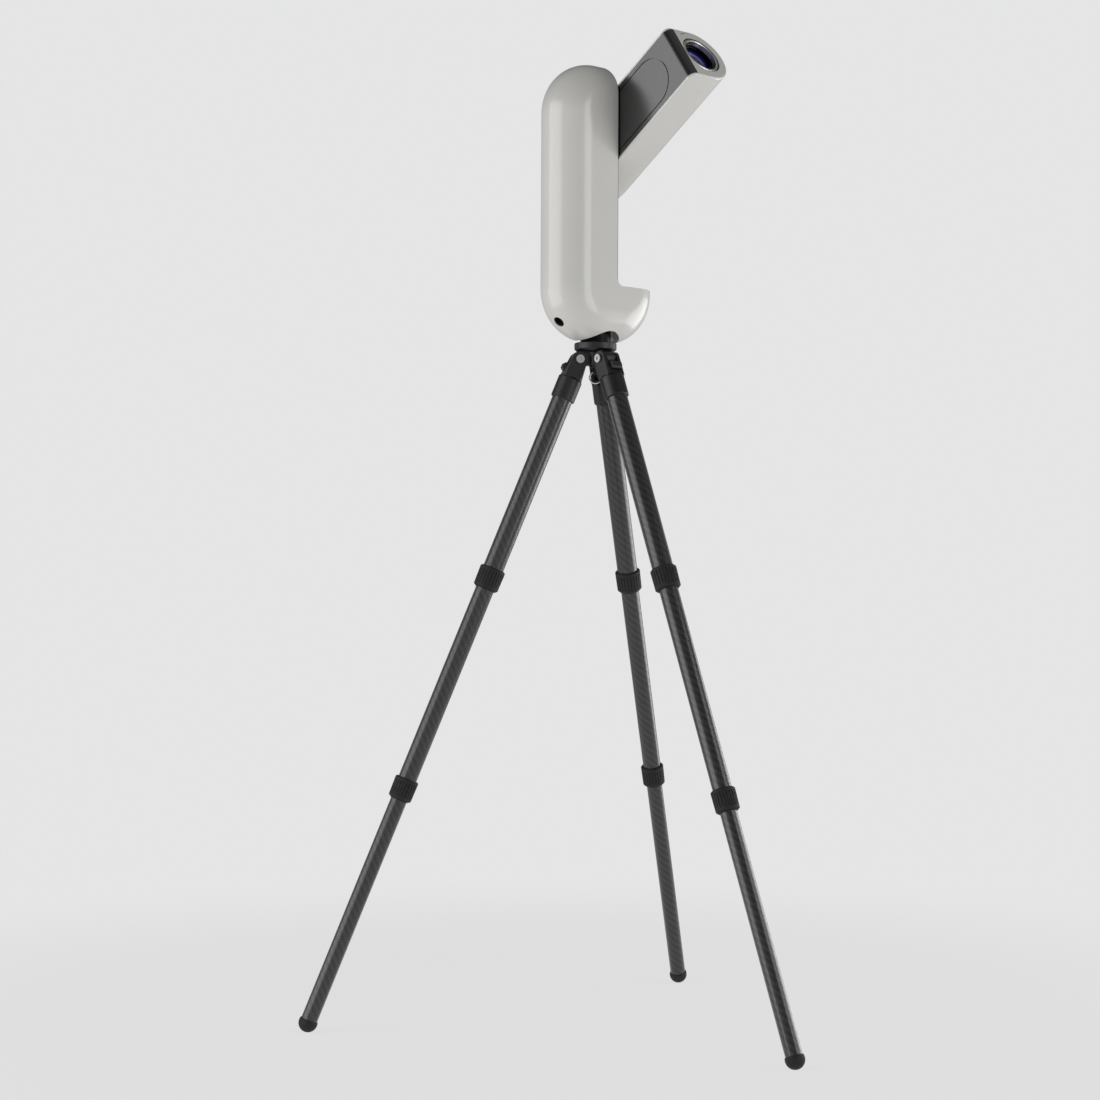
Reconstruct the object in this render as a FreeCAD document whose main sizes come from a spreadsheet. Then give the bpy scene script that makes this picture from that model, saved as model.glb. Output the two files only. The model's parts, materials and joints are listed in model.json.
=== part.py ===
"""Motorised smart telescope on a three-section carbon tripod, in millimetres.

+X is the way the lens aims when the arm is level, +Y runs from the column towards the arm, and
+Z is up. The origin is on the floor, under the middle of the box that holds the whole object.
"""
import FreeCAD, Part
import math
import os
from types import SimpleNamespace

import Sketcher
from FreeCAD import Placement, Rotation, Vector

SIZES = (
    ("leg_spread", 22.06, "lean of an open leg from the vertical, degrees"),
    ("leg_turn", -3.6, "direction of the front leg from +X, degrees"),
    ("pivot_reach", 25.0, "tripod axis to a leg's pivot bolt"),
    ("leg_length", 1018.0, "pivot bolt to the middle of the foot ball"),
    ("running_fit", 0.05, "radial clearance of a shaft in its hole"),
    ("slip_gap", 0.3, "clearance between pieces that slide past each other"),
    ("turned_chamfer", 1.0, "chamfer of turned pieces"),
    ("foot_radius", 13.5, "rubber ball of a foot"),
    ("foot_flat", 0.4, "depth of the flat on the ball's underside"),
    ("foot_rim", 4.5, "height of the ball's cut top above its middle"),
    ("foot_spigot", 26.0, "length of the foot's plug in the lower tube"),
    ("tube_wall", 1.3, "wall of the leg tubes"),
    ("upper_radius", 15.0, "outside of the upper tube"),
    ("middle_radius", 13.4, "outside of the middle tube"),
    ("lower_radius", 11.75, "outside of the lower tube"),
    ("upper_top", 34.0, "pivot to the top end of the upper tube"),
    ("upper_end", 345.0, "pivot to the bottom end of the upper tube"),
    ("middle_top", 291.0, "pivot to the top end of the middle tube"),
    ("middle_end", 668.0, "pivot to the bottom end of the middle tube"),
    ("lower_top", 614.0, "pivot to the top end of the lower tube"),
    ("upper_lock_top", 325.5, "pivot to the top of the upper twist lock"),
    ("lower_lock_top", 649.0, "pivot to the top of the lower twist lock"),
    ("lock_length", 31.0, "length of a twist lock"),
    ("upper_lock_radius", 18.7, "outside of the upper twist lock"),
    ("lower_lock_radius", 17.25, "outside of the lower twist lock"),
    ("lock_taper", 0.5, "how much a lock narrows towards its lower end"),
    ("lock_chamfer", 1.8, "chamfer at the ends of a lock"),
    ("grip_depth", 0.7, "depth of a grip groove"),
    ("grip_width", 2.2, "width of a grip groove"),
    ("grip_margin", 5.0, "plain band at each end of a lock"),
    ("grip_count", 24.0, "grip grooves round a lock"),
    ("yoke_boss", 10.0, "half width of a yoke at the pivot bolt"),
    ("yoke_root", 15.0, "half width of a yoke at its socket"),
    ("yoke_half", 15.2, "half thickness of a yoke across its cheeks"),
    ("yoke_round", 18.8, "radius that rounds the yoke's corners"),
    ("yoke_top_round", 9.0, "rounded corners of a yoke's top"),
    ("slot_half", 9.3, "half width of the slot between the cheeks"),
    ("slot_depth", 24.0, "depth of that slot below the pivot"),
    ("slot_round", 1.5, "rounded corners at the bottom of that slot"),
    ("socket_top", 28.0, "pivot to the top of the tube socket"),
    ("socket_end", 62.0, "pivot to the end of the tube socket"),
    ("socket_bevel", 2.0, "bevel at the top of the tube socket"),
    ("socket_radius", 17.6, "outside of the tube socket"),
    ("bolt_radius", 3.0, "shank of a pivot bolt"),
    ("bolt_head", 6.0, "radius of a pivot bolt's head"),
    ("bolt_head_height", 2.7, "height of a pivot bolt's head"),
    ("bolt_socket", 2.6, "radius of the recess in a bolt's head"),
    ("catch_reach", 18.5, "pivot to the outside of an angle catch"),
    ("catch_depth", 9.5, "how far a catch lies in the slot"),
    ("catch_height", 11.5, "height of an angle catch"),
    ("catch_round", 4.75, "rounded outer corners of an angle catch"),
    ("core_radius", 13.2, "middle of the spider"),
    ("core_chamfer", 2.0, "chamfers of the spider's middle and disc"),
    ("core_below", 8.0, "pivot height to the spider's underside"),
    ("lug_half", 9.0, "half thickness of a spider lug"),
    ("lug_round", 9.5, "radius of a lug's end round the bolt"),
    ("tier_radius", 29.5, "the spider's upper disc"),
    ("tier_base", 10.9, "pivot height to the underside of that disc at the core"),
    ("tier_rim", 12.7, "pivot height to the underside of that disc at its rim"),
    ("plate_base", 14.4, "pivot height to the underside of the top plate"),
    ("plate_height", 10.0, "thickness of the top plate"),
    ("plate_radius", 30.5, "outside of the top plate"),
    ("plate_chamfer", 1.0, "chamfer of the top plate"),
    ("stud_radius", 4.75, "stud that holds the head"),
    ("stud_rise", 9.0, "how far the stud stands above the plate"),
    ("stud_drop", 12.0, "how far the stud reaches below the plate's top"),
    ("washer_radius", 9.0, "washer of the hook stem"),
    ("washer_height", 3.0, "height of that washer"),
    ("stem_radius", 3.6, "hook stem"),
    ("stem_length", 9.8, "washer's underside to the stem's end"),
    ("ring_wire", 1.1, "radius of the hook ring's wire"),
    ("ring_radius", 8.2, "hook ring, to the middle of its wire"),
    ("ring_hole", 2.1, "hole in the stem for the ring"),
    ("ring_hole_drop", 6.0, "washer's underside to the ring's hole"),
    ("ring_turn", -44.0, "direction that the hook ring faces, degrees"),
    ("pill_height", 400.0, "height of the closed body"),
    ("pill_half_width", 92.3, "half of the closed body's width along Y"),
    ("pill_half_depth", 45.0, "half of the closed body's depth along X"),
    ("pill_corner", 75.0, "corner radius of the closed body's outline"),
    ("pill_flat", 0.2, "half of the flat strip left between the rounded edges"),
    ("lip_height", 79.5, "top of the lip above the body's underside"),
    ("lip_fillet", 12.0, "fillet between column and lip"),
    ("body_wall", 3.5, "wall of the column shell"),
    ("liner_inset", 0.6, "how far the liner's outline lies inside the shell's"),
    ("liner_proud", 1.3, "how far the liner stands out of the column's face"),
    ("liner_lip_proud", 0.3, "how far the liner stands out of the lip's top"),
    ("liner_sunk", 1.5, "how deep the liner sits in the shell"),
    ("pocket_radius", 34.0, "round pocket under the body"),
    ("pocket_depth", 20.0, "height of that pocket"),
    ("pocket_floor", 3.3, "wall above the pocket"),
    ("neck_radius", 22.0, "azimuth base"),
    ("neck_gap", 0.6, "clearance of the neck in the body's floor"),
    ("spigot_radius", 18.0, "the base's seat for the azimuth bearing"),
    ("gear_seat_radius", 12.0, "the base's seat for the azimuth gear"),
    ("gear_gap", 1.0, "clearance between bearing and azimuth gear"),
    ("bearing_height", 8.0, "height of the azimuth bearing"),
    ("azimuth_bearing_radius", 26.0, "outside of the azimuth bearing"),
    ("boss_wall", 3.5, "wall of a bearing boss"),
    ("tooth_module", 1.25, "gear module"),
    ("tooth_rise", 0.7, "tooth above the pitch circle, in modules"),
    ("tooth_share", 0.4, "width of a tooth, as a share of the pitch"),
    ("tooth_slope", 0.36, "slope of a tooth's flank"),
    ("gear_width", 6.0, "face width of the gears"),
    ("gear_seat_rise", 2.0, "how far the gear's seat stands above the gear"),
    ("azimuth_teeth", 40.0, "teeth of the fixed azimuth gear"),
    ("altitude_teeth", 48.0, "teeth of the altitude gear"),
    ("pinion_teeth", 12.0, "teeth of both pinions"),
    ("pinion_shaft", 2.0, "shaft of a pinion"),
    ("motor_radius", 14.0, "motors in the column"),
    ("motor_gap", 2.0, "pinion's end to the motor's face"),
    ("web_height", 75.0, "underside of the shelf over the azimuth motor"),
    ("web_wall", 3.0, "thickness of the shelves in the column"),
    ("pivot_height", 285.0, "altitude axis above the body's underside"),
    ("shaft_radius", 11.0, "altitude shaft"),
    ("shaft_depth", 36.0, "how far that shaft reaches into the column"),
    ("shaft_flange", 22.0, "flange of the altitude shaft in the arm"),
    ("flange_height", 3.0, "thickness of that flange"),
    ("altitude_bearing_radius", 19.0, "outside of the altitude bearing"),
    ("altitude_bearing_depth", 9.0, "length of the altitude bearing"),
    ("altitude_gear_depth", 26.0, "split plane to the altitude gear"),
    ("altitude_motor_end", 74.0, "split plane to the far end of the altitude motor"),
    ("battery_half_depth", 20.0, "half of the battery pack along X"),
    ("battery_near", 26.0, "split plane to the near side of the battery pack"),
    ("battery_far", 66.0, "split plane to the far side of the battery pack"),
    ("battery_height", 110.0, "height of the battery pack"),
    ("battery_round", 9.0, "rounded edges of the battery pack"),
    ("board_half_depth", 26.0, "half of the main board along X"),
    ("board_near", 17.0, "split plane to the main board"),
    ("board_wall", 1.6, "thickness of the main board"),
    ("board_base", 96.0, "bottom of the main board"),
    ("board_height", 120.0, "height of the main board"),
    ("chip_height", 2.2, "height of the board's chips"),
    ("standoff_radius", 2.6, "posts that carry the main board"),
    ("standoff_inset", 5.0, "posts to the board's edges"),
    ("socket_angle", 42.0, "charging socket below the level, degrees"),
    ("socket_bore", 7.2, "bore of the charging socket"),
    ("socket_wall", 1.2, "wall of the charging socket"),
    ("socket_depth", 9.0, "depth of the charging socket's cup"),
    ("socket_sunk", 1.5, "how far the socket's rim lies below the shell"),
    ("socket_floor", 1.5, "floor of the charging socket"),
    ("contact_radius", 0.9, "charging contacts"),
    ("contact_spacing", 3.2, "charging contacts from the socket's axis"),
    ("button_radius", 8.0, "power button"),
    ("button_across", 30.0, "split plane to the middle of the power button"),
    ("button_height", 150.0, "power button above the body's underside"),
    ("button_proud", 0.8, "how far the button stands out"),
    ("button_flange", 10.0, "flange that keeps the button in"),
    ("button_flange_height", 2.0, "thickness of that flange"),
    ("button_chamfer", 0.6, "chamfer of the button"),
    ("arm_gap", 2.0, "split plane to the arm's flat face"),
    ("arm_reach", 200.0, "altitude axis to the arm's lens end"),
    ("arm_wall", 4.5, "wall of the arm shell"),
    ("end_wall", 6.0, "wall at the lens end"),
    ("nose_round", 12.0, "round edge where the cover turns over the lens end"),
    ("nose_edge", 3.0, "rounded outer edge of the arm shell's lens end"),
    ("round_slack", 0.02, "how far the form that rounds that edge stays off the faces beside it"),
    ("cover_wall", 3.0, "thickness of the arm's cover"),
    ("cover_half", 42.4, "half width of the arm's cover"),
    ("cover_turn", 13.0, "how far the cover turns down the lens end"),
    ("lid_half", 34.2, "half width of the stadium lid"),
    ("lid_groove", 1.5, "groove round the lid"),
    ("lid_wall", 1.6, "thickness of the lid"),
    ("lid_centre", 132.0, "altitude axis to the middle of the lid's outer round end"),
    ("elevation", 35.0, "arm above the level at rest, degrees"),
    ("lens_bore", 26.5, "opening in front of the lens"),
    ("barrel_bore", 25.5, "inside of the lens barrel, and outside of the lens"),
    ("barrel_wall", 3.0, "wall of the lens barrel"),
    ("barrel_back", 55.0, "altitude axis to the barrel's back end"),
    ("ring_front_sunk", 0.5, "how far the lens ring lies behind the end face"),
    ("lens_ring_outer", 30.2, "outside of the lens ring"),
    ("lens_ring_length", 7.0, "length of the lens ring"),
    ("lens_ring_chamfer", 0.8, "chamfers of the lens ring"),
    ("seal_radius", 32.0, "hole in the arm's end, and outside of the seal"),
    ("seal_sunk", 1.2, "how far the seal lies behind the end face"),
    ("barrel_flange", 2.5, "thickness of the barrel's front flange"),
    ("lens_front", 189.0, "altitude axis to the front of the lens"),
    ("lens_edge", 5.0, "thickness of the lens at its edge"),
    ("lens_curve", 120.0, "radius of the lens's front face"),
    ("lens_ledge", 1.0, "ledge that the lens sits on"),
    ("lens_ledge_length", 2.0, "thickness of that ledge"),
    ("retainer_wall", 3.0, "width of the ring that holds the lens"),
    ("retainer_length", 2.0, "length of that ring"),
    ("carriage_front", 36.0, "altitude axis back to the focus carriage"),
    ("carriage_length", 12.0, "length of the focus carriage"),
    ("carriage_plate", 2.0, "front plate of the focus carriage"),
    ("sensor_half", 6.0, "half width of the image sensor"),
    ("sensor_height", 3.0, "thickness of the image sensor"),
    ("focus_travel", 4.0, "travel of the focus carriage each way"),
    ("screw_radius", 2.5, "focus screw"),
    ("screw_back", 80.0, "altitude axis back to the screw's end in its motor"),
    ("arm_web_back", 78.0, "altitude axis back to the motor's wall in the arm"),
    ("focus_motor_radius", 10.0, "focus motor"),
    ("focus_motor_length", 14.0, "length of the focus motor"),
)

# Each chip on the main board: across, up and side, in shares of the board
CHIPS = (
    (-0.35, 0.25, 0.5),
    (0.4, 0.3, 0.35),
    (0.0, 0.6, 0.6),
    (-0.3, 0.85, 0.3),
)

doc = FreeCAD.newDocument("smart_telescope")
sheet = doc.addObject("Spreadsheet::Sheet", "sizes")
nodes = []


class Size:
    """A length, angle or count together with the sheet expression that gives it."""

    def __init__(self, value, text):
        self.value = value
        self.text = text

    def __add__(self, other):
        return Size(self.value + number(other), f"({self.text} + {text(other)})")

    def __radd__(self, other):
        return Size(number(other) + self.value, f"({text(other)} + {self.text})")

    def __sub__(self, other):
        return Size(self.value - number(other), f"({self.text} - {text(other)})")

    def __rsub__(self, other):
        return Size(number(other) - self.value, f"({text(other)} - {self.text})")

    def __mul__(self, other):
        return Size(self.value * number(other), f"({self.text} * {text(other)})")

    def __rmul__(self, other):
        return Size(number(other) * self.value, f"({text(other)} * {self.text})")

    def __truediv__(self, other):
        return Size(self.value / number(other), f"({self.text} / {text(other)})")

    def __neg__(self):
        return Size(-self.value, f"(0 - {self.text})")


def number(amount):
    return amount.value if isinstance(amount, Size) else float(amount)


def text(amount):
    return amount.text if isinstance(amount, Size) else f"{float(amount):.6f}"


def fill_sheet():
    """Writes the sizes to the sheet and gives them back by name."""
    found = {}
    for row, (alias, value, note) in enumerate(SIZES, start=1):
        sheet.set(f"A{row}", note)
        sheet.set(f"B{row}", str(value))
        sheet.setAlias(f"B{row}", alias)
    doc.recompute()
    for alias, _, _ in SIZES:
        found[alias] = Size(float(sheet.get(alias)), f"sizes.{alias}")
    return SimpleNamespace(**found)


size = fill_sheet()
along_x = Rotation(Vector(0, 1, 0), 90)
along_y = Rotation(Vector(1, 0, 0), -90)


def at(x=0, y=0, z=0, turn=None):
    """A placement from sizes or plain numbers."""
    return Placement(Vector(number(x), number(y), number(z)), turn or Rotation())


def bind(item, **amounts):
    """Ties properties of an object to the sheet."""
    for name, amount in amounts.items():
        if isinstance(amount, Size):
            item.setExpression(name, amount.text)
        else:
            setattr(item, name, amount)


def cylinder(name, radius, height, place=None):
    item = doc.addObject("Part::Cylinder", name)
    bind(item, Radius=radius, Height=height)
    item.Placement = place or Placement()
    return item


def block(name, length, width, height, place):
    """A box centred on its placement in x and y, standing on it in z."""
    item = doc.addObject("Part::Box", name)
    bind(item, Length=length, Width=width, Height=height)
    item.Placement = place * at(-length / 2, -width / 2)
    return item


def fuse(name, *pieces):
    item = doc.addObject("Part::MultiFuse", name)
    item.Shapes = list(pieces)
    return item


def common(name, *pieces):
    item = doc.addObject("Part::MultiCommon", name)
    item.Shapes = list(pieces)
    return item


def cut(name, base, *tools):
    item = doc.addObject("Part::Cut", name)
    item.Base = base
    item.Tool = tools[0] if len(tools) == 1 else fuse(name + "_tools", *tools)
    return item


def group(name, pieces):
    """Separate solids that share one node."""
    item = doc.addObject("Part::Compound", name)
    item.Links = list(pieces)
    return item


def keep(item, label, frame=None):
    """Names a finished piece and puts it in its place."""
    item.Label = label
    item.Placement = frame or Placement()
    nodes.append(item)
    return item


def new_body(name):
    return doc.addObject("PartDesign::Body", name)


def tie(sketch, kind, point, amount):
    """Sets one coordinate of a sketch point."""
    if number(amount) == 0:
        axis = -2 if kind == "DistanceX" else -1
        sketch.addConstraint(Sketcher.Constraint("PointOnObject", point, 1, axis))
        return
    index = sketch.addConstraint(Sketcher.Constraint(kind, -1, 1, point, 1, number(amount)))
    if isinstance(amount, Size):
        sketch.setExpression(f"Constraints[{index}]", amount.text)


def trim_points(points, radii):
    """Where the straight edges beside each corner end, once the corner is rounded."""
    ends = []
    for index, point in enumerate(points):
        back = (points[index - 1] - point).normalize()
        ahead = (points[(index + 1) % len(points)] - point).normalize()
        trim = radii[index] / math.tan(back.getAngle(ahead) / 2)
        ends.append((point + back * trim, point + ahead * trim))
    return ends


def corner_arc(point, ends, radius):
    """The arc of a rounded corner, and whether the outline turns left there."""
    middle = (ends[0] + ends[1]) / 2
    reach = (ends[0] - point).Length
    centre = point + (middle - point) * ((radius ** 2 + reach ** 2) / reach ** 2)
    incoming = point - ends[0]
    outgoing = ends[1] - point
    left = incoming.cross(outgoing).z > 0
    first, last = (ends[0], ends[1]) if left else (ends[1], ends[0])
    start = math.atan2(first.y - centre.y, first.x - centre.x)
    stop = math.atan2(last.y - centre.y, last.x - centre.x)
    if stop < start:
        stop += 2 * math.pi
    circle = Part.Circle(centre, Vector(0, 0, 1), radius)
    return Part.ArcOfCircle(circle, start, stop), left


def outline(sketch, corners):
    """Draws a closed outline through (x, y) or (x, y, rounding) and ties it to the sheet."""
    points = [Vector(number(corner[0]), number(corner[1]), 0) for corner in corners]
    radii = [number(corner[2]) if len(corner) > 2 else 0.0 for corner in corners]
    ends = trim_points(points, radii)
    lines = []
    for index in range(len(corners)):
        following = (index + 1) % len(corners)
        edge = Part.LineSegment(ends[index][1], ends[following][0])
        lines.append(sketch.addGeometry(edge))
    for index, corner in enumerate(corners):
        before, after = lines[index - 1], lines[index]
        mark = sketch.addGeometry(Part.Point(points[index]), True)
        tie(sketch, "DistanceX", mark, corner[0])
        tie(sketch, "DistanceY", mark, corner[1])
        if radii[index] == 0:
            sketch.addConstraint(Sketcher.Constraint("Coincident", before, 2, mark, 1))
            sketch.addConstraint(Sketcher.Constraint("Coincident", after, 1, mark, 1))
            continue
        shape, left = corner_arc(points[index], ends[index], radii[index])
        arc = sketch.addGeometry(shape)
        first, last = (1, 2) if left else (2, 1)
        sketch.addConstraint(Sketcher.Constraint("PointOnObject", mark, 1, before))
        sketch.addConstraint(Sketcher.Constraint("PointOnObject", mark, 1, after))
        sketch.addConstraint(Sketcher.Constraint("Tangent", before, 2, arc, first))
        sketch.addConstraint(Sketcher.Constraint("Tangent", after, 1, arc, last))
        round_off = sketch.addConstraint(Sketcher.Constraint("Radius", arc, radii[index]))
        if isinstance(corner[2], Size):
            sketch.setExpression(f"Constraints[{round_off}]", corner[2].text)


def new_sketch(body, role, name):
    sketch = body.newObject("Sketcher::SketchObject", name)
    plane = next(item for item in body.Origin.OriginFeatures if item.Role == role)
    sketch.AttachmentSupport = (plane, [""])
    sketch.MapMode = "FlatFace"
    return sketch


def profile(body, role, name, corners):
    sketch = new_sketch(body, role, name)
    outline(sketch, corners)
    return sketch


def circle_sketch(body, role, name, x, y, radius):
    sketch = new_sketch(body, role, name)
    middle = Vector(number(x), number(y), 0)
    ring = sketch.addGeometry(Part.Circle(middle, Vector(0, 0, 1), number(radius)))
    mark = sketch.addGeometry(Part.Point(middle), True)
    sketch.addConstraint(Sketcher.Constraint("Coincident", ring, 3, mark, 1))
    tie(sketch, "DistanceX", mark, x)
    tie(sketch, "DistanceY", mark, y)
    index = sketch.addConstraint(Sketcher.Constraint("Radius", ring, number(radius)))
    sketch.setExpression(f"Constraints[{index}]", text(radius))
    return sketch


def pad(body, sketch, length, symmetric=False):
    item = body.newObject("PartDesign::Pad", sketch.Name + "_pad")
    item.Profile = sketch
    item.SideType = "Symmetric" if symmetric else "One side"
    bind(item, Length=length)
    return item


def pocket(body, sketch, length):
    """Cuts a profile out of the solid, equally to both sides of its plane."""
    item = body.newObject("PartDesign::Pocket", sketch.Name + "_pocket")
    item.Profile = sketch
    item.SideType = "Symmetric"
    bind(item, Length=length)
    return item


def spin(body, sketch, kind="PartDesign::Revolution"):
    item = body.newObject(kind, sketch.Name + "_spin")
    item.Profile = sketch
    item.ReferenceAxis = (sketch, ["V_Axis"])
    item.Angle = 360
    return item


def polar(body, originals, count):
    """Repeats features about the body's z axis."""
    item = body.newObject("PartDesign::PolarPattern", body.Name + "_pattern")
    item.Originals = originals
    axis = next(role for role in body.Origin.OriginFeatures if role.Role == "Z_Axis")
    item.Axis = (axis, [""])
    item.Angle = 360
    bind(item, Occurrences=count)
    body.Tip = item
    return item


def turned(name, corners):
    """A body turned from a half profile: x is the radius, y the height."""
    body = new_body(name)
    spin(body, profile(body, "XZ_Plane", name + "_profile", corners))
    return body


def tube(name, outer, inner, low, high):
    return turned(name, [(inner, low), (outer, low), (outer, high), (inner, high)])


# Places of the main frames

def leg_direction(index):
    """Direction of a leg from +X, in degrees."""
    return size.leg_turn.value + 120.0 * index


def foot_reach():
    return size.pivot_reach.value + size.leg_length.value * math.sin(math.radians(size.leg_spread.value))


def axis_offset(turn):
    """Puts the tripod's axis so that the three feet are centred on the origin, along X or Y."""
    reaches = []
    for index in range(3):
        angle = math.radians(leg_direction(index) - turn)
        reaches.append(foot_reach() * math.cos(angle))
    return -(max(reaches) + min(reaches)) / 2


axis_x = axis_offset(0)
axis_y = axis_offset(90)
foot_height = size.foot_radius.value - size.foot_flat.value
bolt_height = foot_height + size.leg_length.value * math.cos(math.radians(size.leg_spread.value))
plate_top = size.plate_base + size.plate_height
hub_frame = at(axis_x, axis_y, bolt_height, Rotation(Vector(0, 0, 1), size.leg_turn.value))
head_frame = at(axis_x, axis_y, bolt_height + plate_top.value)
arm_turn = Rotation(Vector(0, 1, 0), -size.elevation.value)
arm_frame = head_frame * at(0, 0, size.pivot_height, arm_turn)
lens_across = size.pill_half_width - size.pill_half_depth
lens_frame = arm_frame * at(0, lens_across, 0, along_x)


def leg_frame(index):
    """Origin on the leg's bolt, z up along the leg, x outwards and y along the bolt."""
    around = Rotation(Vector(0, 0, 1), 120.0 * index)
    lean = Rotation(Vector(0, 1, 0), -size.leg_spread.value)
    return hub_frame * at(turn=around) * at(size.pivot_reach, 0, 0, lean)


# Tripod hub

def spider():
    """Cast hub: a core under a flared disc, with three lugs for the legs."""
    body = new_body("tripod_spider")
    core = profile(body, "XZ_Plane", "spider_core", [
        (0, -size.core_below),
        (size.core_radius - size.core_chamfer, -size.core_below),
        (size.core_radius, size.core_chamfer - size.core_below),
        (size.core_radius, size.tier_base),
        (size.tier_radius - size.core_chamfer, size.tier_rim),
        (size.tier_radius, size.plate_base),
        (0, size.plate_base),
    ])
    spin(body, core)
    end = size.pivot_reach + size.lug_round
    lug = profile(body, "XZ_Plane", "spider_lug", [
        (0, -size.core_below),
        (size.core_radius, -size.core_below),
        (end, -size.lug_round, size.lug_round - size.slip_gap),
        (end, size.lug_round, size.lug_round - size.slip_gap),
        (size.core_radius + size.lug_half, size.tier_rim),
        (0, size.tier_rim),
    ])
    lug_pad = pad(body, lug, size.lug_half * 2, True)
    hole = circle_sketch(body, "XZ_Plane", "spider_bolt_hole", size.pivot_reach, 0,
                         size.bolt_radius + size.running_fit)
    hole_cut = pocket(body, hole, size.lug_half * 3)
    polar(body, [lug_pad, hole_cut], 3)
    stud = circle_sketch(body, "XY_Plane", "spider_stud_hole", 0, 0, size.stud_radius + size.running_fit)
    deep = pocket(body, stud, size.plate_base * 3)
    deep.Label = "spider_stud_bore"
    keep(body, "tripod_spider", hub_frame)


def top_plate():
    bore = size.stud_radius + size.running_fit
    body = turned("top_plate", [
        (bore, size.plate_base),
        (size.plate_radius - size.plate_chamfer, size.plate_base),
        (size.plate_radius, size.plate_base + size.plate_chamfer),
        (size.plate_radius, plate_top - size.plate_chamfer),
        (size.plate_radius - size.plate_chamfer, plate_top),
        (bore, plate_top),
    ])
    keep(body, "top_plate", hub_frame)


def base_stud():
    """Stud through the top plate into the azimuth base."""
    item = cylinder("base_stud", size.stud_radius, size.stud_rise + size.stud_drop)
    keep(item, "base_stud", hub_frame * at(0, 0, plate_top - size.stud_drop))


def pivot_bolts():
    """Three bolts, each a shank with a head at both ends."""
    head_from = size.yoke_half + size.slip_gap
    bolts = []
    for index in range(3):
        where = at(turn=Rotation(Vector(0, 0, 1), 120.0 * index)) * at(size.pivot_reach, 0, 0, along_y)
        name = f"bolt_{index + 1}"
        shank = cylinder(name + "_shank", size.bolt_radius, head_from * 2, where * at(0, 0, -head_from))
        heads = []
        for side, start in (("near", head_from), ("far", -head_from - size.bolt_head_height)):
            heads.append(cylinder(f"{name}_{side}_head", size.bolt_head, size.bolt_head_height,
                                  where * at(0, 0, start)))
        recess = cylinder(name + "_recess", size.bolt_socket, size.bolt_head_height * 4 + head_from * 2,
                          where * at(0, 0, -head_from - size.bolt_head_height * 2))
        core = cylinder(name + "_core", size.bolt_radius, head_from * 2 + size.bolt_head_height,
                        where * at(0, 0, -head_from - size.bolt_head_height / 2))
        hollow = cut(name + "_hollow", recess, core)
        solid = fuse(name + "_solid", shank, *heads)
        bolts.append(cut(name, solid, hollow))
    keep(group("pivot_bolts", bolts), "pivot_bolts", hub_frame)


def hook_stem():
    """Washer and stem under the hub, drilled across for the ring."""
    top = -size.core_below
    under = top - size.washer_height
    end = under - size.stem_length
    bevel = size.turned_chamfer
    post = turned("stem_post", [
        (0, end),
        (size.stem_radius - bevel, end),
        (size.stem_radius, end + bevel),
        (size.stem_radius, under),
        (size.washer_radius - bevel, under),
        (size.washer_radius, under + bevel),
        (size.washer_radius, top),
        (0, top),
    ])
    across = Rotation(Vector(0, 0, 1), size.ring_turn.value - size.leg_turn.value) * along_y
    length = size.stem_radius * 4
    hole_from = at(0, 0, under - size.ring_hole_drop, across) * at(0, 0, -length / 2)
    hole = cylinder("stem_hole", size.ring_hole, length, hole_from)
    keep(cut("stem", post, hole), "hook_stem", hub_frame)


def hook_ring():
    """Wire ring hanging in the stem's hole."""
    ring = doc.addObject("Part::Torus", "ring")
    bind(ring, Radius1=size.ring_radius, Radius2=size.ring_wire)
    middle = -size.core_below - size.washer_height - size.ring_hole_drop - size.ring_radius
    facing = Rotation(Vector(0, 0, 1), size.ring_turn.value - size.leg_turn.value) * along_x
    keep(ring, "hook_ring", hub_frame * at(0, 0, middle, facing))


# Legs

def yoke(name):
    """Cast fork on the leg's top end, with a socket for the upper tube."""
    body = new_body(name)
    fork = profile(body, "XZ_Plane", name + "_fork", [
        (-size.yoke_boss, size.yoke_boss, size.yoke_top_round),
        (-size.yoke_root, -size.socket_top - size.socket_bevel),
        (size.yoke_root, -size.socket_top - size.socket_bevel),
        (size.yoke_boss, size.yoke_boss, size.yoke_top_round),
    ])
    pad(body, fork, size.yoke_half * 2, True)
    corners = profile(body, "XZ_Plane", name + "_corners", [
        (size.yoke_round, -size.socket_end),
        (size.yoke_round * 2, -size.socket_end),
        (size.yoke_round * 2, size.yoke_boss * 2),
        (size.yoke_round, size.yoke_boss * 2),
    ])
    spin(body, corners, "PartDesign::Groove")
    slot = profile(body, "YZ_Plane", name + "_slot", [
        (-size.slot_half, -size.slot_depth, size.slot_round),
        (size.slot_half, -size.slot_depth, size.slot_round),
        (size.slot_half, size.yoke_boss * 2),
        (-size.slot_half, size.yoke_boss * 2),
    ])
    pocket(body, slot, size.yoke_round * 4)
    socket = profile(body, "XZ_Plane", name + "_socket", [
        (0, -size.socket_top),
        (size.socket_radius - size.socket_bevel, -size.socket_top),
        (size.socket_radius, -size.socket_top - size.socket_bevel * 1.5),
        (size.socket_radius, size.turned_chamfer - size.socket_end),
        (size.socket_radius - size.turned_chamfer, -size.socket_end),
        (size.upper_radius, -size.socket_end),
        (size.upper_radius, -size.upper_top),
        (0, -size.upper_top),
    ])
    spin(body, socket)
    hole = circle_sketch(body, "XZ_Plane", name + "_bolt_hole", 0, 0, size.bolt_radius + size.running_fit)
    pocket(body, hole, size.yoke_half * 3)
    return body


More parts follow.
